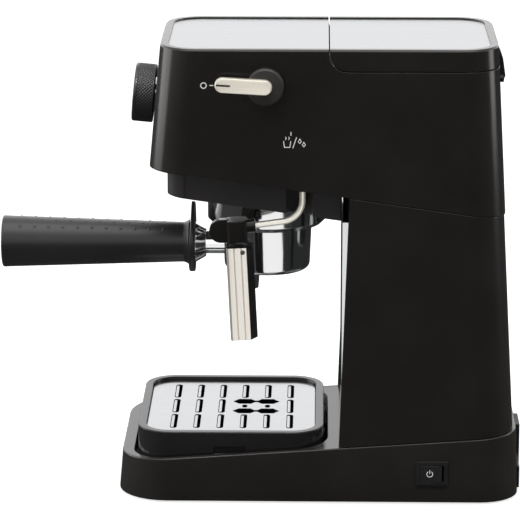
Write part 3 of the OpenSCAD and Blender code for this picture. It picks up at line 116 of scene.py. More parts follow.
def math_node(tree, operation, a, b=None, clamp=False):
    node = tree.nodes.new("ShaderNodeMath")
    node.operation = operation
    node.use_clamp = clamp
    for socket, value in zip(node.inputs, (a, b)):
        if value is None:
            continue
        if isinstance(value, (int, float)):
            socket.default_value = value
        else:
            tree.links.new(value, socket)
    return node.outputs[0]


def map_range(tree, value, low, high, to_low, to_high):
    node = tree.nodes.new("ShaderNodeMapRange")
    for socket, given in zip(node.inputs[:5], (value, low, high, to_low, to_high)):
        if isinstance(given, (int, float)):
            socket.default_value = given
        else:
            tree.links.new(given, socket)
    return node.outputs[0]


def object_point(tree):
    return tree.nodes.new("ShaderNodeTexCoord").outputs["Object"]


def noise(tree, point, scale, detail=2.0, roughness=0.5):
    node = tree.nodes.new("ShaderNodeTexNoise")
    tree.links.new(point, node.inputs["Vector"])
    for label, value in (("Scale", scale), ("Detail", detail), ("Roughness", roughness)):
        if isinstance(value, (int, float)):
            node.inputs[label].default_value = value
        else:
            tree.links.new(value, node.inputs[label])
    return node.outputs["Fac"]


def build_moulded_skin():
    """Fine spark-eroded texture of moulded plastic, with faint handling marks in its gloss."""
    tree, given, out = shader_group(
        "moulded_skin",
        [("Roughness", "NodeSocketFloat", 0.5), ("Grain Size", "NodeSocketFloat", 2500.0),
         ("Marks", "NodeSocketFloat", 0.06)],
        [("Roughness", "NodeSocketFloat"), ("Height", "NodeSocketFloat"), ("Shade", "NodeSocketFloat")])
    point = object_point(tree)
    grain = noise(tree, point, given.outputs["Grain Size"], 2.0, 0.6)
    marks = noise(tree, point, 18.0, 3.0, 0.55)
    swing = math_node(tree, "MULTIPLY", math_node(tree, "SUBTRACT", marks, 0.5), given.outputs["Marks"])
    fine = math_node(tree, "MULTIPLY", math_node(tree, "SUBTRACT", grain, 0.5), 0.08)
    total = math_node(tree, "ADD", math_node(tree, "ADD", given.outputs["Roughness"], swing), fine, clamp=True)
    tree.links.new(total, out.inputs["Roughness"])
    tree.links.new(grain, out.inputs["Height"])
    tree.links.new(map_range(tree, marks, 0.3, 0.7, 0.0, 1.0), out.inputs["Shade"])
    return tree


def build_brushed_lines():
    """Long thin scratches along one axis of the sheet."""
    tree, given, out = shader_group(
        "brushed_lines",
        [("Stretch", "NodeSocketVector", (40.0, 2500.0, 2500.0)), ("Roughness", "NodeSocketFloat", 0.3),
         ("Depth", "NodeSocketFloat", 0.12)],
        [("Roughness", "NodeSocketFloat"), ("Height", "NodeSocketFloat"), ("Shade", "NodeSocketFloat")])
    stretch = tree.nodes.new("ShaderNodeVectorMath")
    stretch.operation = "MULTIPLY"
    tree.links.new(object_point(tree), stretch.inputs[0])
    tree.links.new(given.outputs["Stretch"], stretch.inputs[1])
    lines = noise(tree, stretch.outputs[0], 1.0, 3.0, 0.7)
    swing = math_node(tree, "MULTIPLY", math_node(tree, "SUBTRACT", lines, 0.5), given.outputs["Depth"])
    tree.links.new(math_node(tree, "ADD", given.outputs["Roughness"], swing, clamp=True), out.inputs["Roughness"])
    tree.links.new(lines, out.inputs["Height"])
    tree.links.new(map_range(tree, lines, 0.3, 0.7, 0.0, 1.0), out.inputs["Shade"])
    return tree


def build_soft_edges():
    """Rounds sharp edges in the shading, and masks them so that they can show wear."""
    tree, given, out = shader_group(
        "soft_edges",
        [("Radius", "NodeSocketFloat", 0.0006), ("Normal", "NodeSocketVector", None)],
        [("Normal", "NodeSocketVector"), ("Edge", "NodeSocketFloat")])
    bevel = tree.nodes.new("ShaderNodeBevel")
    bevel.samples = 6
    tree.links.new(given.outputs["Radius"], bevel.inputs["Radius"])
    tree.links.new(given.outputs["Normal"], bevel.inputs["Normal"])
    flat = tree.nodes.new("ShaderNodeNewGeometry").outputs["Normal"]
    turn = tree.nodes.new("ShaderNodeVectorMath")
    turn.operation = "DOT_PRODUCT"
    tree.links.new(bevel.outputs[0], turn.inputs[0])
    tree.links.new(flat, turn.inputs[1])
    tree.links.new(bevel.outputs[0], out.inputs["Normal"])
    tree.links.new(map_range(tree, turn.outputs["Value"], 0.99, 0.8, 0.0, 1.0), out.inputs["Edge"])
    return tree


MOULDED_SKIN = build_moulded_skin()
BRUSHED_LINES = build_brushed_lines()
SOFT_EDGES = build_soft_edges()


# ---- Materials ----

def place_group(tree, group, **values):
    node = tree.nodes.new("ShaderNodeGroup")
    node.node_tree = group
    for label, value in values.items():
        node.inputs[label.replace("_", " ")].default_value = value
    return node


def tint(tree, mask, dark, light):
    mix = tree.nodes.new("ShaderNodeMix")
    mix.data_type = "RGBA"
    mix.inputs["A"].default_value = (*dark, 1)
    mix.inputs["B"].default_value = (*light, 1)
    tree.links.new(mask, mix.inputs["Factor"])
    return mix.outputs["Result"]


def new_material(name):
    material = bpy.data.materials.new(name)
    material.use_nodes = True
    tree = material.node_tree
    return material, tree, tree.nodes["Principled BSDF"]


def relief(tree, height, strength, distance, normal=None):
    bump = tree.nodes.new("ShaderNodeBump")
    bump.inputs["Strength"].default_value = strength
    bump.inputs["Distance"].default_value = distance
    tree.links.new(height, bump.inputs["Height"])
    if normal is not None:
        tree.links.new(normal, bump.inputs["Normal"])
    return bump.outputs["Normal"]


def plastic(name, colour, roughness=0.5, specular=0.3, grain=2500.0, depth=0.00002, marks=0.06,
            edge=0.0006, lift=1.35):
    material, tree, shader = new_material(name)
    skin = place_group(tree, MOULDED_SKIN, Roughness=roughness, Grain_Size=grain, Marks=marks)
    soft = place_group(tree, SOFT_EDGES, Radius=edge)
    bright = tuple(min(1, c * lift) for c in colour)
    tree.links.new(tint(tree, skin.outputs["Shade"], colour, bright), shader.inputs["Base Color"])
    tree.links.new(skin.outputs["Roughness"], shader.inputs["Roughness"])
    bumped = relief(tree, skin.outputs["Height"], 0.35, depth, soft.outputs["Normal"])
    tree.links.new(bumped, shader.inputs["Normal"])
    shader.inputs["Specular IOR Level"].default_value = specular
    return material


def metal(name, colour, roughness=0.25, stretch=(2500.0, 2500.0, 40.0), depth=0.1, edge=0.0004,
          relief_depth=0.000006, dark=0.85, shine=1.0):
    material, tree, shader = new_material(name)
    lines = place_group(tree, BRUSHED_LINES, Stretch=stretch, Roughness=roughness, Depth=depth)
    soft = place_group(tree, SOFT_EDGES, Radius=edge)
    tree.links.new(tint(tree, lines.outputs["Shade"], tuple(c * dark for c in colour), colour),
                   shader.inputs["Base Color"])
    tree.links.new(lines.outputs["Roughness"], shader.inputs["Roughness"])
    bumped = relief(tree, lines.outputs["Height"], 0.4, relief_depth, soft.outputs["Normal"])
    tree.links.new(bumped, shader.inputs["Normal"])
    shader.inputs["Metallic"].default_value = shine
    return material


def clear_plastic(name, colour, roughness=0.12):
    material, tree, shader = new_material(name)
    skin = place_group(tree, MOULDED_SKIN, Roughness=roughness, Grain_Size=600.0, Marks=0.1)
    tree.links.new(skin.outputs["Roughness"], shader.inputs["Roughness"])
    shader.inputs["Base Color"].default_value = (*colour, 1)
    shader.inputs["Transmission Weight"].default_value = 0.85
    shader.inputs["IOR"].default_value = 1.45
    return material


ALL_WAYS = (900.0, 900.0, 900.0)
FINISH = {
    "black_shell": plastic("satin_black_moulding", (0.0275, 0.0251, 0.0235), 0.2, 0.4, 3200.0, 0.00001),
    "dark_plastic": plastic("dark_moulding", (0.018, 0.0175, 0.0178), 0.5, 0.35),
    "pod_plastic": plastic("housing_moulding", (0.046, 0.0425, 0.0425), 0.28, 0.4, 3200.0, 0.00001),
    "rubber": plastic("foot_rubber", (0.009, 0.009, 0.009), 0.85, 0.2, 1500.0),
    "gasket_rubber": plastic("seal_rubber", (0.05, 0.02, 0.013), 0.7, 0.3, 1500.0),
    "zinc": metal("zinc_plate", (0.55, 0.55, 0.53), 0.35, ALL_WAYS),
    "switch_plastic": plastic("switch_gloss", (0.033, 0.0325, 0.035), 0.22, 0.5, 900.0, 0.000004, 0.04, 0.0004),
    "circuit_board": plastic("board_lacquer", (0.01, 0.07, 0.03), 0.3, 0.5, 400.0),
    "polished_steel": metal("polished_panel", (0.62, 0.63, 0.64), 0.08, (2500.0, 2500.0, 30.0), 0.05, 0.0003,
                            0.000002),
    "brushed_plate": metal("brushed_top", (0.375, 0.38, 0.392), 0.28, (30.0, 2600.0, 2600.0), 0.16, 0.0003),
    "cast_metal": metal("cast_aluminium", (0.4, 0.4, 0.41), 0.5, ALL_WAYS, 0.2, 0.0006, 0.00003),
    "chrome": metal("bright_chrome", (0.7, 0.705, 0.7), 0.1, ALL_WAYS, 0.04, 0.0006, 0.000001, 0.95),
    "basket_steel": metal("drawn_steel", (0.6, 0.6, 0.61), 0.25),
    "ceramic": plastic("thermostat_ceramic", (0.55, 0.5, 0.42), 0.5, 0.4),
    "brass": metal("machined_brass", (0.62, 0.42, 0.16), 0.3, ALL_WAYS),
    "dial_plastic": plastic("dial_moulding", (0.044, 0.0415, 0.0385), 0.36, 0.35, 3200.0, edge=0.0007),
    "lever_metal": metal("pale_lever", (1.0, 0.945, 0.81), 0.3, (60.0, 2600.0, 2600.0), 0.12, 0.0005,
                         dark=0.93, shine=0.3),
    "knob_plastic": plastic("knob_moulding", (0.024, 0.0225, 0.0240), 0.24, 0.5, 2500.0),
    "lens_white": plastic("lamp_lens_and_marks_painted_glow", (0.82, 0.82, 0.8), 0.2, 0.5, 500.0, lift=1.05),
    "tank_plastic": clear_plastic("smoky_tank", (0.62, 0.65, 0.67)),
    "hinge_plastic": plastic("hinge_moulding", (0.006, 0.006, 0.006), 0.5, 0.2),
    "white_plastic": plastic("nylon", (0.66, 0.64, 0.58), 0.45, 0.4, lift=1.1),
    "coil_steel": metal("coil_frame", (0.25, 0.26, 0.27), 0.4, ALL_WAYS),
    "hose_silicone": plastic("silicone_hose", (0.6, 0.6, 0.56), 0.35, 0.45, lift=1.1),
    "pipe_steel": metal("pipe_nickel", (0.88, 0.84, 0.75), 0.3, ALL_WAYS, 0.06, 0.0002, 0.000002, 0.95, 0.55),
    "wand_plastic": plastic("wand_moulding", (0.0215, 0.0200, 0.0190), 0.22, 0.4, 2800.0, 0.00001, edge=0.0009),
    "sleeve_steel": metal("sleeve_satin", (0.8, 0.755, 0.685), 0.24, (1800.0, 1800.0, 25.0), 0.1, dark=0.92, shine=0.6),
    "spout_plastic": plastic("spout_gloss", (0.092, 0.086, 0.082), 0.25, 0.5, 900.0, edge=0.0008),
    "handle_plastic": plastic("handle_moulding", (0.034, 0.0318, 0.0328), 0.34, 0.5, 3000.0, edge=0.0007),
    "tray_gloss": plastic("tray_gloss_black", (0.024, 0.0225, 0.0235), 0.14, 0.35, 500.0, 0.000002, 0.03, 0.001),
    "grid_steel": metal("grid_polish", (0.42, 0.425, 0.437), 0.18, (30.0, 2200.0, 2200.0), 0.1, 0.0004),
}
# emission on the ready lamp and the printed marks; on the marks it is painted light, a glow that keeps them white in
# the machine's own shade
lamp_and_mark_painted_glow = next(n for n in FINISH["lens_white"].node_tree.nodes if n.type == "BSDF_PRINCIPLED")
lamp_and_mark_painted_glow.inputs["Emission Color"].default_value = (1.0, 1.0, 0.97, 1.0)
lamp_and_mark_painted_glow.inputs["Emission Strength"].default_value = 0.3
SLOT_OF = {s["node"]: s["material_slot"] for s in frame["record"]["subparts"]}
BODY_OF = {node: body for body, nodes in frame["record"]["behaviour"]["bodies"].items() for node in nodes}
SMOOTH_ANGLE = math.radians(28)


def dress(obj, slot):
    obj.data.materials.clear()
    obj.data.materials.append(FINISH[slot])


for node_name, node_object in NODES.items():
    dress(node_object, SLOT_OF[node_name])
    node_object.data.shade_smooth()
    node_object.data.set_sharp_from_angle(angle=SMOOTH_ANGLE)


# ---- Mesh tools ----

def add_piece(name, bm, slot, body, replaces=(), angle=SMOOTH_ANGLE, even=False):
    """Turns a bmesh in metres into a dressed piece that rides on a body."""
    bmesh.ops.recalc_face_normals(bm, faces=bm.faces)
    mesh = bpy.data.meshes.new(name)
    bm.to_mesh(mesh)
    bm.free()
    obj = bpy.data.objects.new(name, mesh)
    bpy.context.scene.collection.objects.link(obj)
    dress(obj, slot)
    mesh.shade_smooth()
    mesh.set_sharp_from_angle(angle=angle)
    if even:
        obj.modifiers.new("even_normals", "WEIGHTED_NORMAL").keep_sharp = True
    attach(obj, body)
    if replaces:
        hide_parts(*replaces)
    return obj


def skin(bm, rings, close_first=True, close_last=True, place=Matrix()):
    """Joins closed rings of points (millimetres) into one surface."""
    loops = [[bm.verts.new(place @ (Vector(p) * MM)) for p in ring] for ring in rings]
    count = len(loops[0])
    for low, high in zip(loops, loops[1:]):
        for i in range(count):
            j = (i + 1) % count
            bm.faces.new((low[i], low[j], high[j], high[i]))
    if close_first:
        bm.faces.new(loops[0][::-1])
    if close_last:
        bm.faces.new(loops[-1])


def circle_points(radius, height, segments):
    return [(radius * math.cos(2 * math.pi * i / segments), radius * math.sin(2 * math.pi * i / segments), height)
            for i in range(segments)]


def revolve(bm, profile, place, segments=96):
    """A closed solid from (radius, height) pairs, round the place's z axis."""
    skin(bm, [circle_points(max(r, 0.02), h, segments) for r, h in profile], place=place)


def extrude(bm, outline, low, high, place, soften=0.0, steps=3):
    """A prism over an outline, with its far edge rounded."""
    rings = [[(x, y, low) for x, y in outline]]
    count = len(outline)
    middle = (sum(x for x, _ in outline) / count, sum(y for _, y in outline) / count)

    def inset(amount):
        ring = []
        for i, (x, y) in enumerate(outline):
            before, after = outline[i - 1], outline[(i + 1) % count]
            tangent = Vector((after[0] - before[0], after[1] - before[1])).normalized()
            normal = Vector((-tangent.y, tangent.x))
            if normal.dot(Vector((middle[0] - x, middle[1] - y))) < 0:
                normal = -normal
            ring.append((x + normal.x * amount, y + normal.y * amount))
        return ring

    for i in range(steps + 1):
        turn = math.pi / 2 * i / steps
        drop = soften * (1 - math.sin(turn))
        edge = inset(soften * (1 - math.cos(turn))) if soften else outline
        rings.append([(x, y, high - drop) for x, y in edge])
        if not soften:
            break
    skin(bm, rings, place=place)


def slot_outline(x0, x1, half, segments=12):
    """A bar with round ends, along x."""
    return [(x1 - half + half * math.sin(a), -half * math.cos(a))
            for a in (math.pi * i / segments for i in range(segments + 1))] + \
           [(x0 + half - half * math.sin(a), half * math.cos(a))
            for a in (math.pi * i / segments for i in range(segments + 1))]


def round_rect_distance(x, y, x0, x1, half, radius):
    qx = abs(x - (x0 + x1) / 2) - (x1 - x0) / 2 + radius
    qy = abs(y) - half + radius
    return math.hypot(max(qx, 0), max(qy, 0)) + min(max(qx, qy), 0) - radius


def smooth_copy(name, node, rims=(), angle=SMOOTH_ANGLE):
    """The node's shape with its surfaces joined, its chosen edges rounded and its shading even."""
    bm = bmesh.new()
    bm.from_mesh(NODES[node].data)
    bmesh.ops.remove_doubles(bm, verts=bm.verts, dist=0.004 * MM)
    bmesh.ops.dissolve_limit(bm, angle_limit=math.radians(0.4), verts=bm.verts, edges=bm.edges)
    for chosen, width, steps in rims:
        edges = [e for e in bm.edges if len(e.link_faces) == 2 and e.calc_face_angle(0) > math.radians(35)
                 and all(chosen(*(v.co / MM)) for v in e.verts)]
        bmesh.ops.bevel(bm, geom=edges, offset=width * MM, segments=steps, profile=0.5, affect="EDGES",
                        clamp_overlap=True, offset_type="OFFSET")
    return add_piece(name, bm, SLOT_OF[node], BODY_OF[node], (node,), angle, even=True)


# ---- Casing ----

def on_base_rim(x, y, z):
    """Outer edge of the base's sloping top."""
    on_top = abs(z - BASE_MID_Z - x * BASE_SLOPE) < 0.06
    outside_well = round_rect_distance(x, y, TRAY_X0 - 3, TRAY_X1 + 3, TRAY_HALF + 3, TRAY_R + 3) > 0.9
    return on_top and outside_well and not (abs(y) < 25 and 40 < x < 120)


def on_tray_rim(x, y, z):
    return abs(z - TRAY_TOP_Z) < 0.05 and round_rect_distance(x, y, TRAY_X0, TRAY_X1, TRAY_HALF, TRAY_R) > -0.3


def on_tray_rim_inside(x, y, z):
    return abs(z - TRAY_TOP_Z) < 0.05 and round_rect_distance(x, y, TRAY_X0, TRAY_X1, TRAY_HALF, TRAY_R) < -2.5


smooth_copy("base_casing", "base_shell", [(on_base_rim, 0.9, 3)])
smooth_copy("column_casing", "column_shell")
smooth_copy("head_casing", "head_shell")
smooth_copy("lid_casing", "lid_shell")
smooth_copy("lower_housing", "group_pod")
smooth_copy("tray_body", "drip_tray", [(on_tray_rim, 0.7, 3), (on_tray_rim_inside, 0.4, 2)])
for plain in ("column_front_panel", "head_top_plate", "lid_top_plate", "group_collar", "portafilter_spout",
               "steam_pipe", "hinge_block", "switch_frame", "power_rocker"):
    smooth_copy("smooth_" + plain, plain)

# ---- Knob ----

KNURL_COLUMNS, KNURL_DEPTH, KNURL_STEP = 54, 0.5, 2.2


def build_knob():
    """Round knob with a diamond knurl between two plain bands."""
    place = head_front(0, KNOB_Z) @ Matrix.Translation((0, 0, KNOB_GAP * MM))
    bm = bmesh.new()
    segments, rings = KNURL_COLUMNS * 8, []
    rings.append(circle_points(0.02, 0, segments))
    rings.append(circle_points(KNOB_R - 0.7, 0, segments))
    rings.append(circle_points(KNOB_R - 0.05, 0.6, segments))
    low, high, steps = 1.0, KNOB_L - 2.0, 46    # ends of the knurl
    for k in range(steps + 1):
        h = low + (high - low) * k / steps
        ring = []
        for i in range(segments):
            u = i * KNURL_COLUMNS / segments
            v = h / KNURL_STEP
            a = abs((u + v) % 1 - 0.5) * 2
            b = abs((u - v) % 1 - 0.5) * 2
            cut = max(0.0, max(a, b) - 0.45) / 0.55
            fade = min(1, k / 2, (steps - k) / 2)
            r = KNOB_R - KNURL_DEPTH * cut * fade
            angle = 2 * math.pi * i / segments
            ring.append((r * math.cos(angle), r * math.sin(angle), h))
        rings.append(ring)
    for turn in range(0, 91, 18):
        a = math.radians(turn)
        rings.append(circle_points(KNOB_R - KNOB_ROUND + KNOB_ROUND * math.cos(a),
                                   KNOB_L - KNOB_ROUND + KNOB_ROUND * math.sin(a), segments))
    # shallow dish in its face
    for r, h in ((KNOB_R - 3.6, KNOB_L), (KNOB_R - 4.2, KNOB_L - 0.5), (0.02, KNOB_L - 0.5)):
        rings.append(circle_points(r, h, segments))
    skin(bm, rings, place=place)
    add_piece("knurled_knob", bm, "knob_plastic", "knob", ("selector_knob",), math.radians(50))


build_knob()

# ---- Steam dial, lever and printed marks ----

def build_dial():
    place = near_side(*DIAL, DIAL_GAP)
    bm = bmesh.new()
    profile = [(0, 0), (DIAL_R - 0.4, 0), (DIAL_R, 0.5), (DIAL_R, DIAL_T - DIAL_ROUND)]
    profile += [(DIAL_R - DIAL_ROUND + DIAL_ROUND * math.cos(a), DIAL_T - DIAL_ROUND + DIAL_ROUND * math.sin(a))
                for a in (math.radians(t) for t in range(15, 91, 15))]
    profile += [(0, DIAL_T)]
    revolve(bm, profile, place)
    add_piece("round_dial", bm, "dial_plastic", "lever", ("steam_dial",))


def lever_place():
    return (near_side(*DIAL, DIAL_GAP + DIAL_T) @ Matrix.Translation((0, LEVER_LIFT * MM, 0))
            @ Matrix.Rotation(-LEVER_TILT, 4, "Z"))


def build_lever():
    bm = bmesh.new()
    extrude(bm, slot_outline(LEVER_SHORT - LEVER_L, LEVER_SHORT, LEVER_W / 2, 20), 0, LEVER_T, lever_place(),
            LEVER_ROUND, 5)
    add_piece("rounded_lever", bm, "lever_metal", "lever", ("steam_lever",))
    bm = bmesh.new()
    tip = LEVER_SHORT - LEVER_L
    extrude(bm, slot_outline(tip + 0.9, tip + 10.4, 0.62, 4), LEVER_T - 0.02, LEVER_T + 0.05, lever_place())
    add_piece("pointer_line", bm, "dial_plastic", "lever")


def ring_outline(bm, radius, width, start, end, place, low=0.0, high=0.05, segments=28):
    """A flat arc of paint."""
    steps = [start + (end - start) * i / segments for i in range(segments + 1)]
    closed = abs(end - start - 360) < 0.1
    rows = []
    for degrees in steps[:-1] if closed else steps:
        a = math.radians(degrees)
        rows.append([bm.verts.new(place @ (Vector((r * math.cos(a), r * math.sin(a), h)) * MM))
                     for r, h in ((radius - width / 2, low), (radius + width / 2, low),
                                  (radius + width / 2, high), (radius - width / 2, high))])
    pairs = list(zip(rows, rows[1:])) + ([(rows[-1], rows[0])] if closed else [])
    for one, two in pairs:
        for i in range(4):
            j = (i + 1) % 4
            bm.faces.new((one[i], one[j], two[j], two[i]))
    if not closed:
        bm.faces.new(rows[0])
        bm.faces.new(rows[-1][::-1])


def stroke(bm, points, width, place, low=0.0, high=0.05):
    """A painted line through points."""
    for (x0, y0), (x1, y1) in zip(points, points[1:]):
        length = math.hypot(x1 - x0, y1 - y0)
        turn = Matrix.Translation(Vector((x0, y0, 0)) * MM) @ Matrix.Rotation(math.atan2(y1 - y0, x1 - x0), 4, "Z")
        extrude(bm, slot_outline(-width / 2, length + width / 2, width / 2, 4), low, high, place @ turn)


def drop_points(x, y, size):
    return [(x, y + size), (x - size * 0.55, y), (x, y - size * 0.6), (x + size * 0.55, y), (x, y + size)]


def build_marks():
    bm = bmesh.new()
    ring_outline(bm, 1.85, 0.7, 0, 360, near_side(-78.3, 287.5))
    stroke(bm, [(-1.1, 0), (1.1, 0)], 0.7, near_side(-73.0, 287.6))
    stroke(bm, [(0, -1.0), (0, 1.0)], 0.7, near_side(-20.3, 255.3))
    icons = near_side(-17.6, 249.6)
    # cup of steam, a stroke between, and two drops of water
    stroke(bm, [(-7.6, 0.6), (-7.0, -3.4), (-3.4, -3.4), (-2.8, 0.6)], 0.6, icons)
    for x in (-6.3, -4.2):
        stroke(bm, [(x, 1.8), (x + 0.5, 2.8), (x, 3.6)], 0.5, icons)
    stroke(bm, [(-1.4, -3.8), (1.0, 3.2)], 0.6, icons)
    stroke(bm, drop_points(3.2, 0.4, 1.9), 0.5, icons)
    stroke(bm, drop_points(5.9, -1.8, 1.9), 0.5, icons)
    add_piece("side_marks", bm, "lens_white", "casing")


def build_power_mark():
    """Broken ring and bar in the middle of the rocker."""
    spot = Matrix.Translation(Vector((-0.9, -0.3, 0)) * MM)
    bm = bmesh.new()
    ring_outline(bm, 2.0, 0.5, 122, 418, spot, -0.08, 0.1)
    stroke(bm, [(0, 0.3), (0, 2.7)], 0.5, spot, -0.08, 0.1)
    for vert in bm.verts:
        vert.co.z += ROCKER_MIDDLE * MM + abs(vert.co.x) * ROCKER_SLOPE
    bm.transform(near_side(*SWITCH, -ROCKER_PIVOT) @ Matrix.Rotation(-ROCKER_TURN, 4, "Y"))
    add_piece("power_mark", bm, "lens_white", "rocker")


build_dial()
build_lever()
build_marks()
build_power_mark()

# ---- Portafilter handle ----

FLARE_L, FLARE_RISE, GUARD_T = 4.5, 2.0, 4.3
PIP_ROWS = (50, 75, 105, 130, -40, -64, -116, -140)
PIP_START, PIP_STEP, PIP_COUNT, PIP_R, PIP_RISE, PIP_ROOT = 13.6, 9.9, 11, 0.95, 0.32, 0.3
HANDLE_END_ROUND = 1.5
GUARD_LOW_R, GUARD_TIP_R, GUARD_HIGH = 20.5, 12.0, 28.8


def grip_radius(along):
    """Radius of the grip at a distance from its far end."""
    root = HANDLE_REACH - GUARD_REACH
    taper = (HANDLE_END_R - HANDLE_ROOT_R) / (root - FLARE_L)
    if along < root - FLARE_L:
        return HANDLE_END_R - taper * along
    t = (along - root + FLARE_L) / FLARE_L
    return HANDLE_ROOT_R + FLARE_RISE * t * t


def build_handle():
    place = Matrix.Translation(Vector((-HANDLE_REACH, 0, HANDLE_Z)) * MM) @ Matrix.Rotation(math.pi / 2, 4, "Y")
    root = HANDLE_REACH - GUARD_REACH
    profile = [(0, 0), (6, 0.1), (11, 0.35)]
    profile += [(HANDLE_END_R - HANDLE_END_ROUND + HANDLE_END_ROUND * math.sin(a),
                 0.8 + HANDLE_END_ROUND * (1 - math.cos(a)))
                for a in (math.radians(t) for t in range(0, 91, 15))]
    profile += [(grip_radius(d), d) for d in range(6, int(root - FLARE_L), 6)]
    profile += [(grip_radius(root - FLARE_L * (1 - t / 8)), root - FLARE_L * (1 - t / 8)) for t in range(9)]
    profile += [(0, root + 0.5)]
    bm = bmesh.new()
    revolve(bm, profile, place, 128)
    for row, degrees in enumerate(PIP_ROWS):
        # local x points down and local y to the rear side
        angle = math.radians(degrees)
        for k in range(PIP_COUNT):
            along = PIP_START + (k - (0.5 if row % 2 else 0.0)) * PIP_STEP
            if along > root - FLARE_L - 3:
                continue
            r = grip_radius(along)
            spot = Vector((-r * math.sin(angle), -r * math.cos(angle), along))
            out = Vector((-math.sin(angle), -math.cos(angle), 0)).to_track_quat("Z", "Y").to_matrix().to_4x4()
            pip = [(PIP_R * math.cos(a), PIP_RISE * math.sin(a))
                   for a in (math.radians(t) for t in (0, 25, 50, 75, 90))]
            revolve(bm, [(PIP_R, -PIP_ROOT)] + pip, place @ Matrix.Translation(spot * MM) @ out, 12)
    # guard plate between the grip and the chrome neck
    rings = []
    for x, lean, shrink in ((0.0, 0.0, 1.2), (0.35, 0.1, 0.35), (1.2, 0.5, 0.0), (GUARD_T - 1.0, 1.0, 0.0),
                            (GUARD_T - 0.3, 1.0, 0.3), (GUARD_T, 1.0, 1.0)):
        ring = []
        for i in range(72):
            a = 2 * math.pi * i / 72
            reach = guard_reach(a) - shrink
            ring.append((-GUARD_REACH + x + (1 - lean) * max(0, math.sin(a)) * 1.6 * (1 - x / GUARD_T),
                         reach * math.cos(a), HANDLE_Z + reach * math.sin(a)))
        rings.append(ring)
    skin(bm, rings)
    add_piece("grip_with_guard", bm, "handle_plastic", "portafilter", ("portafilter_handle",), math.radians(40))


def guard_reach(angle):
    """Distance from the handle's axis to the guard's egg-shaped outline in one direction."""
    best = GUARD_LOW_R
    for k in range(13):
        t = k / 12
        r, c = GUARD_LOW_R + (GUARD_TIP_R - GUARD_LOW_R) * t, (GUARD_HIGH - GUARD_TIP_R) * t
        along = c * math.sin(angle)
        under = r * r - c * c + along * along
        if under > 0:
            best = max(best, along + math.sqrt(under))
    return best


def bowl_extras(bm):
    """Locking lugs and the socket of the handle."""
    root = BOWL_R - 0.5
    section = ((root, LUG_Z), (LUG_R, LUG_Z), (LUG_R, LUG_Z + LUG_T), (root, LUG_Z + LUG_T))
    steps = 12
    for middle in (90, 270):
        angles = [math.radians(middle + LUG_ANGLE * (step / steps - 0.5)) for step in range(steps + 1)]
        skin(bm, [[(GROUP_X + r * math.cos(a), r * math.sin(a), z) for r, z in section] for a in angles])
    place = Matrix.Translation(Vector((GUARD_BACK + 1, 0, HANDLE_Z)) * MM) @ Matrix.Rotation(math.pi / 2, 4, "Y")
    revolve(bm, [(NECK_R, 0), (NECK_R, GROUP_X - BOWL_BORE_R - 0.3 - GUARD_BACK - 1)], place, 96)


def build_bowl():
    """Turned chrome bowl with a rounded foot."""
    bowl = [(0, BOWL_Z)]
    bowl += [(BOWL_FLOOR_R - BOWL_FILLET + BOWL_FILLET * math.cos(a), BOWL_Z + BOWL_FILLET + BOWL_FILLET * math.sin(a))
             for a in (math.radians(90 * i / 8 - 90) for i in range(9))]
    bowl += [(BOWL_R, BOWL_RIM_Z - BOWL_RIM_ROUND), (BOWL_R - BOWL_RIM_ROUND, BOWL_RIM_Z), (BOWL_BORE_R, BOWL_RIM_Z),
             (BOWL_BORE_R, BOWL_Z + BOWL_FLOOR_T), (0, BOWL_Z + BOWL_FLOOR_T)]
    bm = bmesh.new()
    revolve(bm, bowl, Matrix.Translation(Vector((GROUP_X, 0, 0)) * MM), 192)
    bowl_extras(bm)
    add_piece("turned_bowl", bm, "chrome", "portafilter", ("portafilter_bowl",), math.radians(32))


build_handle()
build_bowl()

# ---- Wand ----

def sleeve_outline(inset, grooves=()):
    """Half round behind and flat in front, from the rear edge to the black side."""
    r = SLEEVE_CORNER_R
    points = [((SLEEVE_R - inset) * math.cos(a), (SLEEVE_R - inset) * math.sin(a))
              for a in (math.radians(t) for t in range(0, 181, 6))]
    points += [(-SLEEVE_R + 0.4 + r + (r - inset) * math.cos(a), -SLEEVE_FLAT_Y + r + (r - inset) * math.sin(a))
               for a in (math.radians(t) for t in range(180, 271, 15))]
    for x in grooves:
        points += [(x + across, -SLEEVE_FLAT_Y + inset + deep) for across, deep in
                   ((-GROOVE_HALF, 0), (-GROOVE_FLOOR_HALF, GROOVE_DEPTH),
                    (GROOVE_FLOOR_HALF, GROOVE_DEPTH), (GROOVE_HALF, 0))]
    return points + [(SLEEVE_FLAT_X - 0.56 * inset, -SLEEVE_FLAT_Y + inset)]


def build_sleeve():
    """Steel sheet wrapped round the froth sleeve, with two pressed grooves in its flat face."""
    outline = sleeve_outline(0, SLEEVE_GROOVES)
    inner = sleeve_outline(SLEEVE_SHEET_T)
    first = next(i for i, (x, y) in enumerate(outline) if x < -SLEEVE_R / 2)
    outside = outline[first:]
    inside = [p for p in inner if p[0] < -SLEEVE_R / 2 or p[1] < -5]
    sheet = outside + inside[::-1]
    place = wand_leg()
    bm = bmesh.new()
    skin(bm, [[(x, y, z) for x, y in sheet] for z in (-SLEEVE_L, -SLEEVE_L + 0.01, -0.01, 0)], place=place)
    add_piece("steel_sleeve", bm, "sleeve_steel", "froth_sleeve", ("sleeve_shell",))


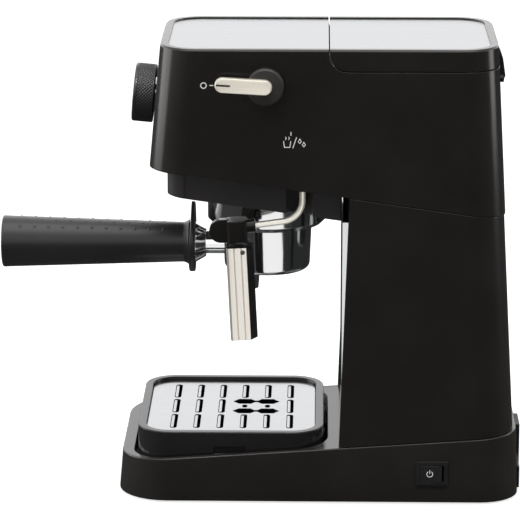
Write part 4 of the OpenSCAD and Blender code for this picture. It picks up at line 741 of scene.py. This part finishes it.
def build_louvres():
    """Turned-down strip of sheet along the front edge of each slot of the grid."""
    bm = bmesh.new()
    for column in range(6):
        x = SLOT_MIDDLE + (column - 2.5) * SLOT_PITCH
        for row in (-1, 0, 1):
            if row == 0 and column in (3, 4):    # the grid's middle holes
                continue
            place = Matrix.Translation(Vector((x - LOUVRE_HALF, row * SLOT_ROW_PITCH, GRID_TOP_Z - LOUVRE_DROP)) * MM)
            place = place @ Matrix.Rotation(LOUVRE_LEAN, 4, "Y") @ Matrix.Rotation(math.pi / 2, 4, "Z")
            outline = slot_outline(3.4 - SLOT_L / 2, SLOT_L / 2 - 0.8, LOUVRE_HALF, 6)
            extrude(bm, outline, -LOUVRE_T, 0.0, place)
    add_piece("grid_louvres", bm, "grid_steel", "grid")


build_sleeve()
build_louvres()
smooth_copy("wand_block", "wand_joint")
smooth_copy("neck_ferrule", "handle_ferrule")

# ---- Camera, lights and floor ----

CAMERA_PLACE = (-0.001245, -2.015438, 0.674759)
CAMERA_DIP, CAMERA_TURN = math.radians(14.556), math.radians(1.1644)
SENSOR_WIDTH, FOCAL_LENGTH = 36, 207.69

camera = bpy.data.objects.new("camera", bpy.data.cameras.new("camera"))
camera.data.sensor_width = SENSOR_WIDTH
camera.data.lens = FOCAL_LENGTH
camera.data.clip_end = 20
camera.location = CAMERA_PLACE
camera.rotation_euler = (math.pi / 2 - CAMERA_DIP, 0, CAMERA_TURN)
bpy.context.scene.collection.objects.link(camera)
bpy.context.scene.camera = camera


def softbox(name, place, aim, size, power, receivers=()):
    """A rectangular lamp; with receivers, a card that only those pieces see."""
    lamp = bpy.data.lights.new(name, "AREA")
    lamp.shape = "RECTANGLE"
    lamp.size, lamp.size_y = size
    lamp.energy = power
    obj = bpy.data.objects.new(name, lamp)
    obj.location = place
    obj.rotation_euler = (Vector(aim) - Vector(place)).to_track_quat("-Z", "Y").to_euler()
    bpy.context.scene.collection.objects.link(obj)
    if receivers:
        lit = bpy.data.collections.new(name + "_pieces")
        for piece_name in receivers:
            lit.objects.link(bpy.data.objects[piece_name])
        obj.light_linking.receiver_collection = lit


METAL_PIECES = ("turned_bowl", "smooth_group_collar", "neck_ferrule", "smooth_steam_pipe", "steel_sleeve",
                "rounded_lever", "smooth_column_front_panel")
EDGE_PIECES = ("round_dial", "base_casing", "tray_body")

softbox("softbox_overhead", (0, -0.35, 1.9), (0, 0, 0.1), (1.8, 1.5), 15)
softbox("softbox_front", (-2.0, 0.42, 0.5), (0, 0, 0.15), (1.5, 1.3), 17.5)
softbox("softbox_rear_side", (2.0, 0.3, 0.5), (0, 0, 0.15), (0.7, 1.3), 10)
softbox("card_low", (0.03, -0.48, 0.113), (0.03, -0.163, 1.061), (0.34, 0.675), 0.86, METAL_PIECES)
softbox("card_front", (-0.16, -1.3, 0.55), (-0.08, 0.0, 0.16), (0.3, 0.9), 0.7, METAL_PIECES)
softbox("card_top", (-0.03, -0.6, 1.45), (-0.03, -0.05, 0.2), (0.9, 0.14), 6.0, EDGE_PIECES)
softbox("card_knob", (-0.1, -0.72, 1.2), (-0.12, 0.0, 0.27), (0.5, 0.3), 6.0, ("knurled_knob",))

SHADE_GLOW, BEHIND_GLOW, FRONT_END_GLOW, ROOM_GLOW = 0.03, 1.58, 0.8, 1.0


def build_studio():
    """Pale wall behind and past the handle's end, dark in front, and white where the camera looks."""
    world = bpy.data.worlds.new("studio")
    bpy.context.scene.world = world
    world.use_nodes = True
    sky = world.node_tree
    sky.nodes.clear()
    direction = sky.nodes.new("ShaderNodeSeparateXYZ")
    sky.links.new(sky.nodes.new("ShaderNodeTexCoord").outputs["Generated"], direction.inputs[0])
    behind = map_range(sky, direction.outputs["Y"], 0.0, 0.9, SHADE_GLOW, BEHIND_GLOW)
    front_end = map_range(sky, direction.outputs["X"], -0.35, -1.0, 0.0, FRONT_END_GLOW)
    walls = math_node(sky, "ADD", behind, front_end)
    # polished metal shows a pale room from every side
    seen = sky.nodes.new("ShaderNodeLightPath")
    upward = map_range(sky, direction.outputs["Z"], 0.03, 0.2, 0.0, ROOM_GLOW)
    room = math_node(sky, "MULTIPLY", seen.outputs["Is Glossy Ray"], upward)
    choose = sky.nodes.new("ShaderNodeMixShader")
    sky.links.new(seen.outputs["Is Camera Ray"], choose.inputs[0])
    for socket, strength in ((choose.inputs[1], math_node(sky, "MAXIMUM", walls, room)), (choose.inputs[2], None)):
        background = sky.nodes.new("ShaderNodeBackground")
        background.inputs["Color"].default_value = (1, 1, 1, 1)
        if strength is not None:
            sky.links.new(strength, background.inputs["Strength"])
        sky.links.new(background.outputs[0], socket)
    world_out = sky.nodes.new("ShaderNodeOutputWorld")
    sky.links.new(choose.outputs[0], world_out.inputs["Surface"])


FLOOR_SIZE, FLOOR_TONE, FLOOR_SHOWN, FLOOR_SHADE, FLOOR_GLOW = 14, 0.5, 0.75, 0.45, 0.7


def build_floor():
    """Plain pale floor: white to the camera, darker in reflections."""
    bpy.ops.mesh.primitive_plane_add(size=FLOOR_SIZE, location=(0, 0, 0))
    floor = bpy.context.object
    floor.name = "floor"
    material = bpy.data.materials.new("pale_floor")
    material.use_nodes = True
    tree = material.node_tree
    tree.nodes.clear()
    matte = tree.nodes.new("ShaderNodeBsdfDiffuse")
    glow = tree.nodes.new("ShaderNodeEmission")
    glow.inputs["Color"].default_value = (1, 1, 1, 1)
    path = tree.nodes.new("ShaderNodeLightPath")
    shown = map_range(tree, path.outputs["Is Camera Ray"], 0.0, 1.0, FLOOR_TONE, FLOOR_SHOWN)
    shade = map_range(tree, path.outputs["Is Glossy Ray"], 0.0, 1.0, 0.0, FLOOR_SHADE)
    tree.links.new(math_node(tree, "SUBTRACT", shown, shade), matte.inputs["Color"])
    tree.links.new(map_range(tree, path.outputs["Is Camera Ray"], 0.0, 1.0, 0.0, FLOOR_GLOW), glow.inputs["Strength"])
    both = tree.nodes.new("ShaderNodeAddShader")
    tree.links.new(matte.outputs[0], both.inputs[0])
    tree.links.new(glow.outputs[0], both.inputs[1])
    out = tree.nodes.new("ShaderNodeOutputMaterial")
    tree.links.new(both.outputs[0], out.inputs["Surface"])
    floor.data.materials.append(material)


build_studio()
build_floor()
bpy.context.scene.view_settings.view_transform = "Standard"
